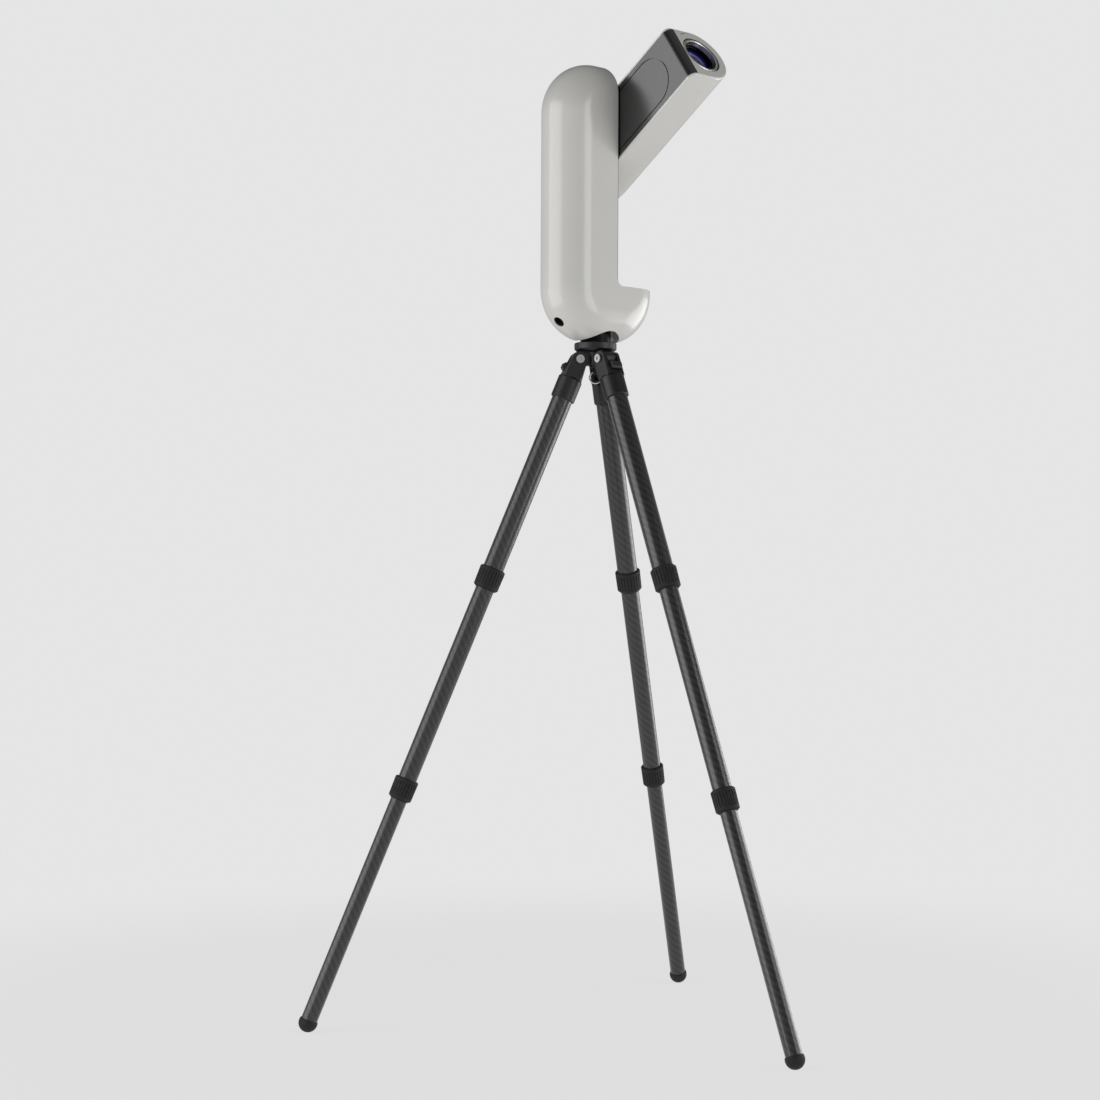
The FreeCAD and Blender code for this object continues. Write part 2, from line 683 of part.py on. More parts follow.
def angle_catch(name):
    """Rounded tab that lies between the cheeks and sets the leg's angle."""
    body = new_body(name)
    low = size.slip_gap + size.slot_round - size.slot_depth
    near = size.catch_reach - size.catch_depth
    tab = profile(body, "XZ_Plane", name + "_tab", [
        (near, low),
        (size.catch_reach, low, size.catch_round),
        (size.catch_reach, low + size.catch_height, size.catch_round),
        (near, low + size.catch_height),
    ])
    pad(body, tab, (size.slot_half - size.slip_gap) * 2, True)
    return body


def twist_lock(name, outer, top, seat, seat_end, passing):
    """Collar that turns on the tube above it and grips the tube that slides through."""
    bottom = -top - size.lock_length
    low_outer = outer - size.lock_taper
    body = new_body(name)
    collar = profile(body, "XZ_Plane", name + "_collar", [
        (seat + size.running_fit, -top),
        (outer - size.lock_chamfer, -top),
        (outer, -top - size.lock_chamfer),
        (low_outer, bottom + size.lock_chamfer),
        (low_outer - size.lock_chamfer, bottom),
        (passing + size.slip_gap, bottom),
        (passing + size.slip_gap, -seat_end - size.slip_gap),
        (seat + size.running_fit, -seat_end - size.slip_gap),
    ])
    spin(body, collar)
    ridge_low = bottom + size.grip_margin
    ridge_high = -top - size.grip_margin
    groove = profile(body, "XY_Plane", name + "_groove", [
        (low_outer - size.grip_depth, 0),
        (outer + size.grip_depth, -size.grip_width),
        (outer + size.grip_depth, size.grip_width),
    ])
    groove.AttachmentOffset = at(0, 0, ridge_low)
    bind(groove, **{"AttachmentOffset.Base.z": ridge_low})
    teeth = body.newObject("PartDesign::Pocket", name + "_grip")
    teeth.Profile = groove
    teeth.Reversed = True
    bind(teeth, Length=ridge_high - ridge_low)
    polar(body, [teeth], size.grip_count)
    return body


def foot(name):
    """Rubber ball with a flat underside and a plug in the lower tube."""
    centre = at(0, 0, -size.leg_length)
    ball = doc.addObject("Part::Sphere", name + "_ball")
    bind(ball, Radius=size.foot_radius)
    ball.setExpression("Angle2", f"asin({text(size.foot_rim / size.foot_radius)})")
    ball.Placement = centre
    plug = cylinder(name + "_plug", size.lower_radius - size.tube_wall, size.foot_spigot,
                    centre * at(0, 0, size.foot_rim))
    upright = Rotation(Vector(0, 1, 0), size.leg_spread.value)
    width = size.foot_radius * 3
    floor = block(name + "_floor", width, width, size.foot_radius,
                  at(0, 0, -size.leg_length, upright) * at(0, 0, size.foot_flat - size.foot_radius * 2))
    return cut(name, fuse(name + "_solid", ball, plug), floor)


def leg(side, index):
    frame = leg_frame(index)
    keep(yoke(side + "_yoke"), side + "_yoke", frame)
    keep(angle_catch(side + "_angle_catch"), side + "_angle_catch", frame)
    sections = (
        ("upper", size.upper_radius, size.upper_top, size.upper_end),
        ("middle", size.middle_radius, size.middle_top, size.middle_end),
        ("lower", size.lower_radius, size.lower_top, size.leg_length - size.foot_rim),
    )
    for part, radius, top, end in sections:
        name = f"{side}_{part}_tube"
        keep(tube(name, radius, radius - size.tube_wall, -end, -top), name, frame)
    upper = twist_lock(side + "_upper_lock", size.upper_lock_radius, size.upper_lock_top,
                       size.upper_radius, size.upper_end, size.middle_radius)
    lower = twist_lock(side + "_lower_lock", size.lower_lock_radius, size.lower_lock_top,
                       size.middle_radius, size.middle_end, size.lower_radius)
    keep(upper, side + "_upper_lock", frame)
    keep(lower, side + "_lower_lock", frame)
    keep(foot(side + "_foot"), side + "_foot", frame)


# Shared form of the closed body

def round_ends(body, slab, radius):
    """Rounds the edges of a padded form's two end faces, which look along x."""
    doc.recompute()
    ends = []
    for index, face in enumerate(slab.Shape.Faces, start=1):
        if abs(face.normalAt(0, 0).x) > 0.99:
            ends.append(f"Face{index}")
    edge = body.newObject("PartDesign::Fillet", body.Name + "_edge")
    edge.Base = (slab, ends)
    bind(edge, Radius=radius)


def pill(name, inset):
    """The closed body's rounded form, standing on z = 0, drawn in by the inset."""
    body = new_body(name)
    half = size.pill_half_width - inset
    low = inset
    high = size.pill_height - inset
    bend = size.pill_corner - inset
    sketch = profile(body, "YZ_Plane", name + "_outline", [
        (-half, low, bend),
        (half, low, bend),
        (half, high, bend),
        (-half, high, bend),
    ])
    slab = pad(body, sketch, (size.pill_half_depth - inset) * 2, True)
    round_ends(body, slab, size.pill_half_depth - inset - size.pill_flat)
    return body


def prism(name, role, corners, half):
    """A padded outline, equally to both sides of its plane."""
    body = new_body(name)
    pad(body, profile(body, role, name + "_outline", corners), half * 2, True)
    return body


# Azimuth drive

floor_top = size.pocket_depth + size.pocket_floor
bearing_top = floor_top + size.bearing_height
gear_base = bearing_top + size.gear_gap
gear_top = gear_base + size.gear_width
azimuth_pitch = size.tooth_module * size.azimuth_teeth / 2
altitude_pitch = size.tooth_module * size.altitude_teeth / 2
pinion_pitch = size.tooth_module * size.pinion_teeth / 2
azimuth_spacing = azimuth_pitch + pinion_pitch
altitude_spacing = altitude_pitch + pinion_pitch


def gear(name, pitch, teeth, bore, width):
    """A toothed wheel on z."""
    body = new_body(name)
    rise = size.tooth_module * size.tooth_rise
    root = pitch - size.tooth_module
    pitch_half = math.pi * size.tooth_module * size.tooth_share / 2
    disc = profile(body, "XZ_Plane", name + "_disc", [
        (bore, 0),
        (root, 0),
        (root, width),
        (bore, width),
    ])
    spin(body, disc)
    tip_half = pitch_half - rise * size.tooth_slope
    root_half = pitch_half + size.tooth_module * size.tooth_slope
    tooth = profile(body, "XY_Plane", name + "_tooth", [
        (root - size.tooth_module / 2, -root_half),
        (root, -root_half),
        (pitch + rise, -tip_half),
        (pitch + rise, tip_half),
        (root, root_half),
        (root - size.tooth_module / 2, root_half),
    ])
    polar(body, [pad(body, tooth, width)], teeth)
    return body


def azimuth_base():
    bore = size.stud_radius + size.running_fit
    shoulder = floor_top - size.slip_gap
    body = turned("azimuth_base", [
        (bore, 0),
        (size.neck_radius - size.turned_chamfer, 0),
        (size.neck_radius, size.turned_chamfer),
        (size.neck_radius, shoulder),
        (size.spigot_radius, shoulder),
        (size.spigot_radius, gear_base),
        (size.gear_seat_radius, gear_base),
        (size.gear_seat_radius, gear_top + size.gear_seat_rise),
        (bore, gear_top + size.gear_seat_rise),
    ])
    keep(body, "azimuth_base", head_frame)
    wheel = gear("azimuth_gear", azimuth_pitch, size.azimuth_teeth, size.gear_seat_radius, size.gear_width)
    keep(wheel, "azimuth_gear", head_frame * at(0, 0, gear_base))
    bearing = tube("azimuth_bearing", size.azimuth_bearing_radius, size.spigot_radius + size.running_fit,
                   floor_top, bearing_top)
    keep(bearing, "azimuth_bearing", head_frame)


def pinion(name, frame):
    """Pinion with the motor shaft that carries it, z from the gear to the motor."""
    body = gear(name, pinion_pitch, size.pinion_teeth, 0, size.gear_width)
    reach = size.gear_width + size.motor_gap * 4
    shaft = circle_sketch(body, "XY_Plane", name + "_shaft", 0, 0, size.pinion_shaft)
    body.Tip = pad(body, shaft, reach)
    keep(body, name, frame)


def motor(name, radius, length, frame):
    """Motor can with chamfered ends and a bore for its shaft, z from its face to its back."""
    body = turned(name, [
        (size.pinion_shaft + size.running_fit, 0),
        (radius - size.turned_chamfer, 0),
        (radius, size.turned_chamfer),
        (radius, length - size.turned_chamfer),
        (radius - size.turned_chamfer, length),
        (0, length),
        (0, size.motor_gap * 4),
        (size.pinion_shaft + size.running_fit, size.motor_gap * 4),
    ])
    keep(body, name, frame)


def drives():
    """Motors and pinions of both axes."""
    half_tooth = 180.0 / size.pinion_teeth.value
    turn_z = Rotation(Vector(0, 0, 1), half_tooth)
    azimuth_place = head_frame * at(0, -azimuth_spacing, gear_base)
    pinion("azimuth_pinion", azimuth_place * at(turn=turn_z))
    face = size.gear_width + size.motor_gap
    motor("azimuth_motor", size.motor_radius, size.web_height - gear_base - face,
          azimuth_place * at(0, 0, face))
    to_back = Rotation(Vector(1, 0, 0), 90)
    altitude_place = head_frame * at(0, -size.altitude_gear_depth,
                                     size.pivot_height - altitude_spacing, to_back)
    pinion("altitude_pinion", altitude_place * at(turn=turn_z))
    motor("altitude_motor", size.motor_radius, size.altitude_motor_end - size.altitude_gear_depth - face,
          altitude_place * at(0, 0, face))


# Column

socket_outer = size.socket_bore + size.socket_wall
socket_turn = Rotation(Vector(1, 0, 0), 90 + size.socket_angle.value)
corner_across = size.pill_half_width - size.pill_corner
socket_frame = at(0, -corner_across, size.pill_corner, socket_turn) * at(0, 0, size.pill_corner)
button_turn = Rotation(Vector(0, 1, 0), -90)
button_frame = at(-size.pill_half_depth, -size.button_across, size.button_height, button_turn)
column_web = size.pivot_height - altitude_spacing - size.motor_radius - size.web_wall
far = size.pill_height


def l_region(name, column_face, lip_top, fillet):
    """Prism over the column and the lip, up to the given faces."""
    return prism(name, "YZ_Plane", [
        (-far, -far),
        (far, -far),
        (far, lip_top),
        (column_face, lip_top, fillet),
        (column_face, far * 2),
        (-far, far * 2),
    ], far)


def body_shell():
    """White shell of column and lip, open towards the bay, where the liner closes it."""
    outer = common("shell_outer", pill("shell_pill", 0), l_region(
        "shell_region", 0, size.lip_height, size.lip_fillet))
    inside = common("shell_inside", pill("shell_inner_pill", size.body_wall), l_region(
        "shell_inner_region", size.liner_proud, size.lip_height + size.liner_lip_proud, size.lip_fillet))
    pocket_wall = cylinder("pocket_wall", size.pocket_radius + size.body_wall, floor_top)
    boss = tube("bearing_boss", size.azimuth_bearing_radius + size.boss_wall, size.azimuth_bearing_radius,
                0, bearing_top)
    shelves = []
    for name, height in (("lower_shelf", size.web_height), ("upper_shelf", column_web)):
        shelves.append(block(name, far, far, size.web_wall,
                             at(0, -far / 2 - size.liner_sunk * 2, height)))
    button_rim = size.button_radius + size.running_fit
    solid = cut("shell_hollowed", outer, cut("shell_cavity", inside, pocket_wall, boss, *shelves))
    shell = cut("shell", solid,
                cylinder("pocket", size.pocket_radius, size.pocket_depth * 2, at(0, 0, -size.pocket_depth)),
                cylinder("neck_hole", size.neck_radius + size.neck_gap, floor_top),
                cylinder("bearing_seat", size.azimuth_bearing_radius, size.bearing_height * 2,
                         at(0, 0, floor_top)),
                liner_slab("liner_seat"),
                cylinder("socket_hole", socket_outer, size.socket_depth * 3,
                         socket_frame * at(0, 0, -size.socket_depth * 2)),
                cylinder("button_hole", button_rim, size.body_wall * 2,
                         button_frame * at(0, 0, -size.body_wall * 3 / 2)))
    keep(shell, "body_shell", head_frame)


def liner_slab(name):
    """L-shaped sheet over the column's face and the lip's top."""
    proud = size.liner_proud
    lip = size.lip_height
    sunk = size.liner_sunk
    sheet_form = prism(name + "_sheet", "YZ_Plane", [
        (-sunk, lip - sunk, size.lip_fillet + sunk),
        (far, lip - sunk),
        (far, lip + size.liner_lip_proud),
        (proud, lip + size.liner_lip_proud, size.lip_fillet - proud),
        (proud, far * 2),
        (-sunk, far * 2),
    ], far)
    return common(name, pill(name + "_pill", size.liner_inset), sheet_form)


def bay_liner():
    """Dark liner with the altitude bearing's boss and the main board's posts."""
    axis = at(0, 0, size.pivot_height, along_y)
    depth = size.altitude_bearing_depth + size.liner_sunk
    boss = cylinder("liner_boss", size.altitude_bearing_radius + size.boss_wall, depth,
                    axis * at(0, 0, -depth))
    posts = []
    low = size.board_base + size.standoff_inset
    high = size.board_base + size.board_height - size.standoff_inset
    out = size.board_half_depth - size.standoff_inset
    for x in (-out, out):
        for z in (low, high):
            posts.append(cylinder(f"post_{len(posts) + 1}", size.standoff_radius,
                                  size.board_near - size.liner_sunk,
                                  at(x, -size.board_near, z, along_y)))
    solid = fuse("liner_solid", liner_slab("liner_face"), boss, *posts)
    bearing_hole = cylinder("liner_bearing_hole", size.altitude_bearing_radius, depth,
                            axis * at(0, 0, -depth - size.liner_sunk))
    shaft_hole = cylinder("liner_shaft_hole", size.shaft_radius + size.neck_gap, depth * 3,
                          axis * at(0, 0, -depth * 2))
    keep(cut("liner", solid, bearing_hole, shaft_hole), "bay_liner", head_frame)
    bearing = tube("altitude_bearing", size.altitude_bearing_radius, size.shaft_radius + size.running_fit,
                   -size.liner_sunk - size.altitude_bearing_depth, -size.liner_sunk)
    keep(bearing, "altitude_bearing", head_frame * axis)


def charging_socket():
    """Cup in the lower corner of the column, with two contact pins."""
    rim = -size.socket_sunk
    bottom = rim - size.socket_depth
    cup = turned("socket_blank", [
        (0, bottom),
        (socket_outer, bottom),
        (socket_outer, rim),
        (size.socket_bore, rim),
        (size.socket_bore, bottom + size.socket_floor),
        (0, bottom + size.socket_floor),
    ])
    pins = []
    holes = []
    for side in (-1, 1):
        place = at(side * size.contact_spacing, 0, bottom)
        number_on = len(pins) + 1
        pins.append(cylinder(f"contact_{number_on}", size.contact_radius, size.socket_floor, place))
        holes.append(cylinder(f"contact_hole_{number_on}", size.contact_radius + size.running_fit,
                              size.socket_floor, place))
    keep(cut("socket_cup", cup, *holes), "charging_socket", head_frame * socket_frame)
    keep(group("contacts", pins), "charging_contacts", head_frame * socket_frame)


def power_button():
    """Round cap in the back of the column, kept in by a flange."""
    inner = -size.body_wall - size.slip_gap
    cap = turned("power_button", [
        (0, inner - size.button_flange_height),
        (size.button_flange, inner - size.button_flange_height),
        (size.button_flange, inner),
        (size.button_radius, inner),
        (size.button_radius, size.button_proud - size.button_chamfer),
        (size.button_radius - size.button_chamfer, size.button_proud),
        (0, size.button_proud),
    ])
    keep(cap, "power_button", head_frame * button_frame)


def electronics():
    """Battery pack on the lower shelf and the main board on the liner's posts."""
    across = (size.battery_near + size.battery_far) / 2
    width = size.battery_far - size.battery_near
    half = size.battery_half_depth
    pack = new_body("battery_pack")
    wrap = profile(pack, "XY_Plane", "battery_outline", [
        (-half, -width / 2, size.battery_round),
        (half, -width / 2, size.battery_round),
        (half, width / 2, size.battery_round),
        (-half, width / 2, size.battery_round),
    ])
    pad(pack, wrap, size.battery_height)
    keep(pack, "battery_pack", head_frame * at(0, -across, size.web_height + size.web_wall))
    flat = head_frame * at(0, -size.board_near, 0, Rotation(Vector(1, 0, 0), 90))
    board = block("board_sheet", size.board_half_depth * 2, size.board_height, size.board_wall,
                  at(0, size.board_base + size.board_height / 2, 0))
    chips = []
    for x, y, share in CHIPS:
        side = size.board_half_depth * share
        chips.append(block(f"chip_{len(chips) + 1}", side, side, size.chip_height,
                           at(size.board_half_depth * x, size.board_base + size.board_height * y,
                              size.board_wall)))
    keep(fuse("board", board, *chips), "main_board", flat)


# Arm, in its own frame: x towards the lens, y across, origin on the altitude axis

to_arm = at(turn=Rotation(Vector(0, 1, 0), -90)) * at(0, 0, -size.pivot_height)
tail = size.pill_height - size.pivot_height
cover_back = tail - size.pill_half_depth


def arm_pill(name, inset):
    item = pill(name, inset)
    item.Placement = to_arm
    return item


def cover_sheet(name):
    """Flat cover that turns over the lens end, with a round tail end."""
    near = size.arm_gap
    inner = size.arm_gap + size.cover_wall
    end = size.arm_reach
    strip = prism(name + "_strip", "XY_Plane", [
        (-tail, near),
        (end, near, size.nose_round),
        (end, near + size.cover_turn),
        (end - size.cover_wall, near + size.cover_turn),
        (end - size.cover_wall, inner, size.nose_round - size.cover_wall),
        (-tail, inner),
    ], size.cover_half)
    height = size.cover_turn * 2 + size.nose_round
    tail_end = cylinder(name + "_tail", size.cover_half, height, at(-cover_back, 0, 0, along_y))
    length = end + cover_back + size.nose_round
    front = block(name + "_front", length, size.cover_half * 2, height,
                  at(length / 2 - cover_back, 0, 0, along_y))
    return common(name, strip, fuse(name + "_plan", tail_end, front))


def stadium(name, half, thickness):
    """Plate with round ends, at the altitude axis and towards the lens, on the arm's flat face."""
    face = at(0, size.arm_gap, 0, along_y)
    back = cylinder(name + "_back", half, thickness, face)
    front = cylinder(name + "_front", half, thickness, at(size.lid_centre) * face)
    middle = block(name + "_middle", size.lid_centre, half * 2, thickness, at(size.lid_centre / 2) * face)
    return fuse(name, back, front, middle)


def end_round(name):
    """The arm's cross-section, a hair larger, up to a lens end with a rounded edge."""
    body = new_body(name)
    half = size.pill_half_depth + size.round_slack
    side = size.pill_half_width + size.round_slack
    bend = half - size.pill_flat
    section = profile(body, "YZ_Plane", name + "_section", [
        (-far, -half),
        (side, -half, bend),
        (side, half, bend),
        (-far, half),
    ])
    slab = pad(body, section, (size.arm_reach + size.round_slack) * 2, True)
    round_ends(body, slab, size.nose_edge + size.round_slack)
    return body


def arm_shell():
    """White shell of the arm, open at its flat side, with a round hole in its lens end."""
    cut_off = prism("arm_region", "XY_Plane", [
        (-far, size.arm_gap),
        (size.arm_reach, size.arm_gap, size.nose_round),
        (size.arm_reach, far),
        (-far, far),
    ], far)
    outer = common("arm_outer", arm_pill("arm_outer_pill", 0), cut_off, end_round("arm_end"))
    room = prism("arm_room", "XY_Plane", [
        (-far, 0),
        (size.arm_reach - size.end_wall, 0),
        (size.arm_reach - size.end_wall, far),
        (-far, far),
    ], far)
    wall = block("arm_web", size.web_wall, far, far, at(-size.arm_web_back + size.web_wall / 2, 0, -far / 2))
    cavity = cut("arm_cavity", common("arm_inside", arm_pill("arm_inner_pill", size.arm_wall), room), wall)
    to_lens = at(0, lens_across, 0, along_x)
    mouth = cylinder("arm_mouth", size.seal_radius, size.end_wall * 3,
                     to_lens * at(0, 0, size.arm_reach - size.end_wall * 2))
    screw_hole = cylinder("arm_screw_hole", size.screw_radius + size.slip_gap, size.web_wall * 3,
                          to_lens * at(0, 0, -size.arm_web_back - size.web_wall))
    shell = cut("arm", outer, cavity, mouth, screw_hole, cover_sheet("cover_seat"))
    keep(shell, "arm_shell", arm_frame)


def arm_cover():
    """Dark cover with a seat for the lid."""
    seat = stadium("lid_seat", size.lid_half + size.lid_groove, size.lid_wall)
    hole = cylinder("cover_hole", size.shaft_radius, size.cover_wall * 3,
                    at(0, size.arm_gap - size.cover_wall, 0, along_y))
    keep(cut("cover", cover_sheet("cover_sheet"), seat, hole), "arm_cover", arm_frame)
    lid_hole = cylinder("lid_hole", size.shaft_radius, size.cover_wall * 3,
                        at(0, size.arm_gap - size.cover_wall, 0, along_y))
    keep(cut("lid", stadium("lid_plate", size.lid_half, size.lid_wall), lid_hole), "arm_lid", arm_frame)


def hub_shaft():
    """Altitude shaft from the arm into the column, with its flange inside the arm."""
    inner = size.arm_gap + size.cover_wall
    body = turned("hub_shaft", [
        (0, -size.shaft_depth),
        (size.shaft_radius - size.turned_chamfer, -size.shaft_depth),
        (size.shaft_radius, size.turned_chamfer - size.shaft_depth),
        (size.shaft_radius, inner),
        (size.shaft_flange, inner),
        (size.shaft_flange, inner + size.flange_height),
        (0, inner + size.flange_height),
    ])
    keep(body, "hub_shaft", arm_frame * at(turn=along_y))
    wheel = gear("altitude_gear", altitude_pitch, size.altitude_teeth, size.shaft_radius, size.gear_width)
    back = Rotation(Vector(1, 0, 0), 90)
    keep(wheel, "altitude_gear",
         head_frame * at(0, -size.altitude_gear_depth, size.pivot_height, back))


def optics():
    """Lens, its rings and barrel, and the focus drive behind it, z along the lens axis."""
    barrel_outer = size.barrel_bore + size.barrel_wall
    ring_front = size.arm_reach - size.ring_front_sunk
    ring_back = ring_front - size.lens_ring_length
    flange_back = ring_back - size.barrel_flange
    step = size.lens_front - size.lens_edge
    barrel = turned("lens_barrel", [
        (size.barrel_bore, -size.barrel_back),
        (barrel_outer, -size.barrel_back),
        (barrel_outer, flange_back),
        (size.seal_radius, flange_back),
        (size.seal_radius, ring_back),
        (size.barrel_bore, ring_back),
        (size.barrel_bore, step),
        (size.barrel_bore - size.lens_ledge, step),
        (size.barrel_bore - size.lens_ledge, step - size.lens_ledge_length),
        (size.barrel_bore, step - size.lens_ledge_length),
    ])
    keep(barrel, "lens_barrel", lens_frame)
    ring = turned("lens_ring", [
        (size.lens_bore, ring_back),
        (size.lens_ring_outer, ring_back),
        (size.lens_ring_outer, ring_front - size.lens_ring_chamfer),
        (size.lens_ring_outer - size.lens_ring_chamfer, ring_front),
        (size.lens_bore + size.lens_ring_chamfer, ring_front),
        (size.lens_bore, ring_front - size.lens_ring_chamfer),
    ])
    keep(ring, "lens_ring", lens_frame)
    seal = tube("lens_seal", size.seal_radius, size.lens_ring_outer, ring_back,
                size.arm_reach - size.seal_sunk)
    keep(seal, "lens_seal", lens_frame)
    blank = cylinder("lens_blank", size.barrel_bore, size.lens_edge * 3, at(0, 0, step))
    dome = doc.addObject("Part::Sphere", "lens_dome")
    bind(dome, Radius=size.lens_curve)
    dome.Placement = at(0, 0, size.lens_front - size.lens_curve)
    keep(common("lens", blank, dome), "objective_lens", lens_frame)
    retainer = tube("lens_retainer", size.barrel_bore, size.barrel_bore - size.retainer_wall,
                    size.lens_front, size.lens_front + size.retainer_length)
    keep(retainer, "lens_retainer", lens_frame)
    back = -size.carriage_front - size.carriage_length
    plate_back = -size.carriage_front - size.carriage_plate
    carriage = turned("focus_carriage", [
        (size.screw_radius + size.running_fit, back),
        (size.barrel_bore - size.slip_gap, back),
        (size.barrel_bore - size.slip_gap, -size.carriage_front),
        (0, -size.carriage_front),
        (0, plate_back),
        (size.screw_radius + size.running_fit, plate_back),
    ])
    keep(carriage, "focus_carriage", lens_frame)
    sensor = new_body("image_sensor")
    half = size.sensor_half
    chip = profile(sensor, "XY_Plane", "sensor_outline", [
        (-half, -half),
        (half, -half),
        (half, half),
        (-half, half),
    ])
    pad(sensor, chip, size.sensor_height)
    keep(sensor, "image_sensor", lens_frame * at(0, 0, -size.carriage_front))
    screw_front = plate_back - size.focus_travel - size.slip_gap
    screw = turned("focus_screw", [
        (0, -size.screw_back),
        (size.pinion_shaft, -size.screw_back),
        (size.pinion_shaft, -size.arm_web_back + size.web_wall),
        (size.screw_radius, -size.arm_web_back + size.web_wall),
        (size.screw_radius, screw_front),
        (0, screw_front),
    ])
    keep(screw, "focus_screw", lens_frame)
    to_tail = Rotation(Vector(1, 0, 0), 180)
    motor("focus_motor", size.focus_motor_radius, size.focus_motor_length,
          lens_frame * at(0, 0, -size.arm_web_back, to_tail))


def check_and_write():
    """Stops if anything failed, and writes one file for each node."""
    doc.recompute()
    for item in doc.Objects:
        if "Invalid" in item.State or "Error" in item.State:
            raise RuntimeError(f"{item.Label} failed: {item.State}")
    os.makedirs("parts", exist_ok=True)
    for item in nodes:
        if item.Shape.isNull() or not item.Shape.isValid():
            raise RuntimeError(f"{item.Label} has no valid shape")
        item.Shape.exportStep(f"parts/{item.Label}.step")
        box = item.Shape.BoundBox
        print(f"{item.Label}: {len(item.Shape.Solids)} solids, {item.Shape.Volume:.1f} mm3, "
              f"x {box.XMin:.1f} {box.XMax:.1f} y {box.YMin:.1f} {box.YMax:.1f} "
              f"z {box.ZMin:.1f} {box.ZMax:.1f}")


spider()
top_plate()
base_stud()
pivot_bolts()
hook_stem()
hook_ring()
for leg_index, leg_side in enumerate(("front", "left", "right")):
    leg(leg_side, leg_index)
azimuth_base()
drives()
body_shell()
bay_liner()
charging_socket()
power_button()
electronics()
arm_shell()
arm_cover()
hub_shaft()
optics()
check_and_write()
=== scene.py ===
import json
import math

import bmesh
import bpy
from bpy.props import FloatProperty, FloatVectorProperty, IntProperty, PointerProperty
from bpy.types import NodeSocket, Operator, Panel, PropertyGroup
from mathutils import Matrix, Vector


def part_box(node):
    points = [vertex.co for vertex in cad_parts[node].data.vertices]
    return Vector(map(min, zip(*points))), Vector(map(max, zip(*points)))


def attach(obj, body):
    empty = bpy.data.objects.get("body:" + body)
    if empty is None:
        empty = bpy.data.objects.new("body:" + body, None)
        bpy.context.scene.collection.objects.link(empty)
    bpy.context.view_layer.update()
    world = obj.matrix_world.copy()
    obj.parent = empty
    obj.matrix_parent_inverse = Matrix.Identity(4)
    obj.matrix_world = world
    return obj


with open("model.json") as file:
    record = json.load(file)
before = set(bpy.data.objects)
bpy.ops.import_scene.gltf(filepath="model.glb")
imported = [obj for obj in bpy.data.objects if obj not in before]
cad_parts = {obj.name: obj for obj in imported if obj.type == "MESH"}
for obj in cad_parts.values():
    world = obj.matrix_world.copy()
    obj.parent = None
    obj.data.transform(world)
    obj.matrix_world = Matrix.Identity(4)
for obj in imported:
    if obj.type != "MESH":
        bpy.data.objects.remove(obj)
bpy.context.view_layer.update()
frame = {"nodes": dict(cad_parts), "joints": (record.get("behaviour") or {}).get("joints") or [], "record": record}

bl_info = {
    "name": "Smart telescope looks",
    "version": (1, 0, 0),
    "blender": (4, 5, 0),
    "location": "View3D > Sidebar > Telescope",
    "description": "Finishes, small trim and the studio for a motorised telescope on a carbon tripod",
    "category": "Object",
}

SIDES = ("front", "left", "right")
joints = {joint["name"]: joint for joint in frame["joints"]}
mounts = {mount["name"]: mount for mount in frame["record"]["mounts"]}
tripod_axis = Vector(joints["azimuth_turn"]["pos_m"])
lens_axis = Vector(mounts["lens_bore"]["axis"])
lens_point = Vector(mounts["lens_bore"]["pos_m"])

TWILL_REPEAT = 4
NOISE_DARK = 0.3
NOISE_BRIGHT = 0.7
BOLT_ZONE = 0.012


def linear(hexcode):
    """An sRGB hex colour as linear red, green and blue."""
    channels = [int(hexcode[start:start + 2], 16) / 255 for start in (0, 2, 4)]
    return tuple(c / 12.92 if c <= 0.04045 else ((c + 0.055) / 1.055) ** 2.4 for c in channels)


def colour_property(name, hexcode, description):
    return FloatVectorProperty(name=name, description=description, subtype="COLOR", min=0, max=1,
                               default=linear(hexcode))


def length_property(name, default, description):
    return FloatProperty(name=name, description=description, default=default, min=0, unit="LENGTH",
                         precision=5)


class FinishSettings(PropertyGroup):
    """Colours and surface sizes of the finishes."""

    shell: colour_property("Shell", "C9C8C4", "Lacquer of the column and the arm")
    cover: colour_property("Cover", "0A0B0D", "Lacquer of the arm's flat cover")
    liner: colour_property("Liner", "0B0B0C", "Soft-touch coat inside the bay")
    # Tows along a tube get a lighter colour than tows round it: painted sheen, standing in for the light that
    # those tows reflect
    warp_painted_sheen: colour_property("Warp", "2D2D2B", "Carbon tows that run along a tube")
    weft: colour_property("Weft", "121212", "Carbon tows that run round a tube")
    casting: colour_property("Casting", "0C0C0D", "Powder coat of the castings")
    nylon: colour_property("Nylon", "0A0A0B", "Moulded black nylon")
    rubber: colour_property("Rubber", "070707", "Moulded rubber of locks and feet")
    steel: colour_property("Steel", "BDBCB8", "Turned stainless steel")
    chrome: colour_property("Chrome", "DADDE0", "Plating of the hook ring")
    aluminium: colour_property("Aluminium", "D6D6D4", "Clear anodised aluminium")
    anodised: colour_property("Black anodising", "1A1A1C", "Dyed aluminium of base and barrel")
    brass: colour_property("Brass", "D3AE5B", "Contacts and pinions")
    acetal: colour_property("Acetal", "DEDCD2", "Moulded gears")
    glass: colour_property("Glass", "3C3F86", "Tint that the lens coating leaves")
    board: colour_property("Board", "0E4A2C", "Solder mask of the main board")
    wrap: colour_property("Wrap", "1B3E73", "Heat-shrunk sleeve of the battery")
    light_ring: colour_property("Light ring", "C8CACC", "Diffuser round the power button")
    tow: length_property("Tow width", 0.003, "Width of one carbon tow as drawn; real tows are 2 mm wide")
    grain: length_property("Grain", 0.0012, "Size of the powder coat's grain as drawn")


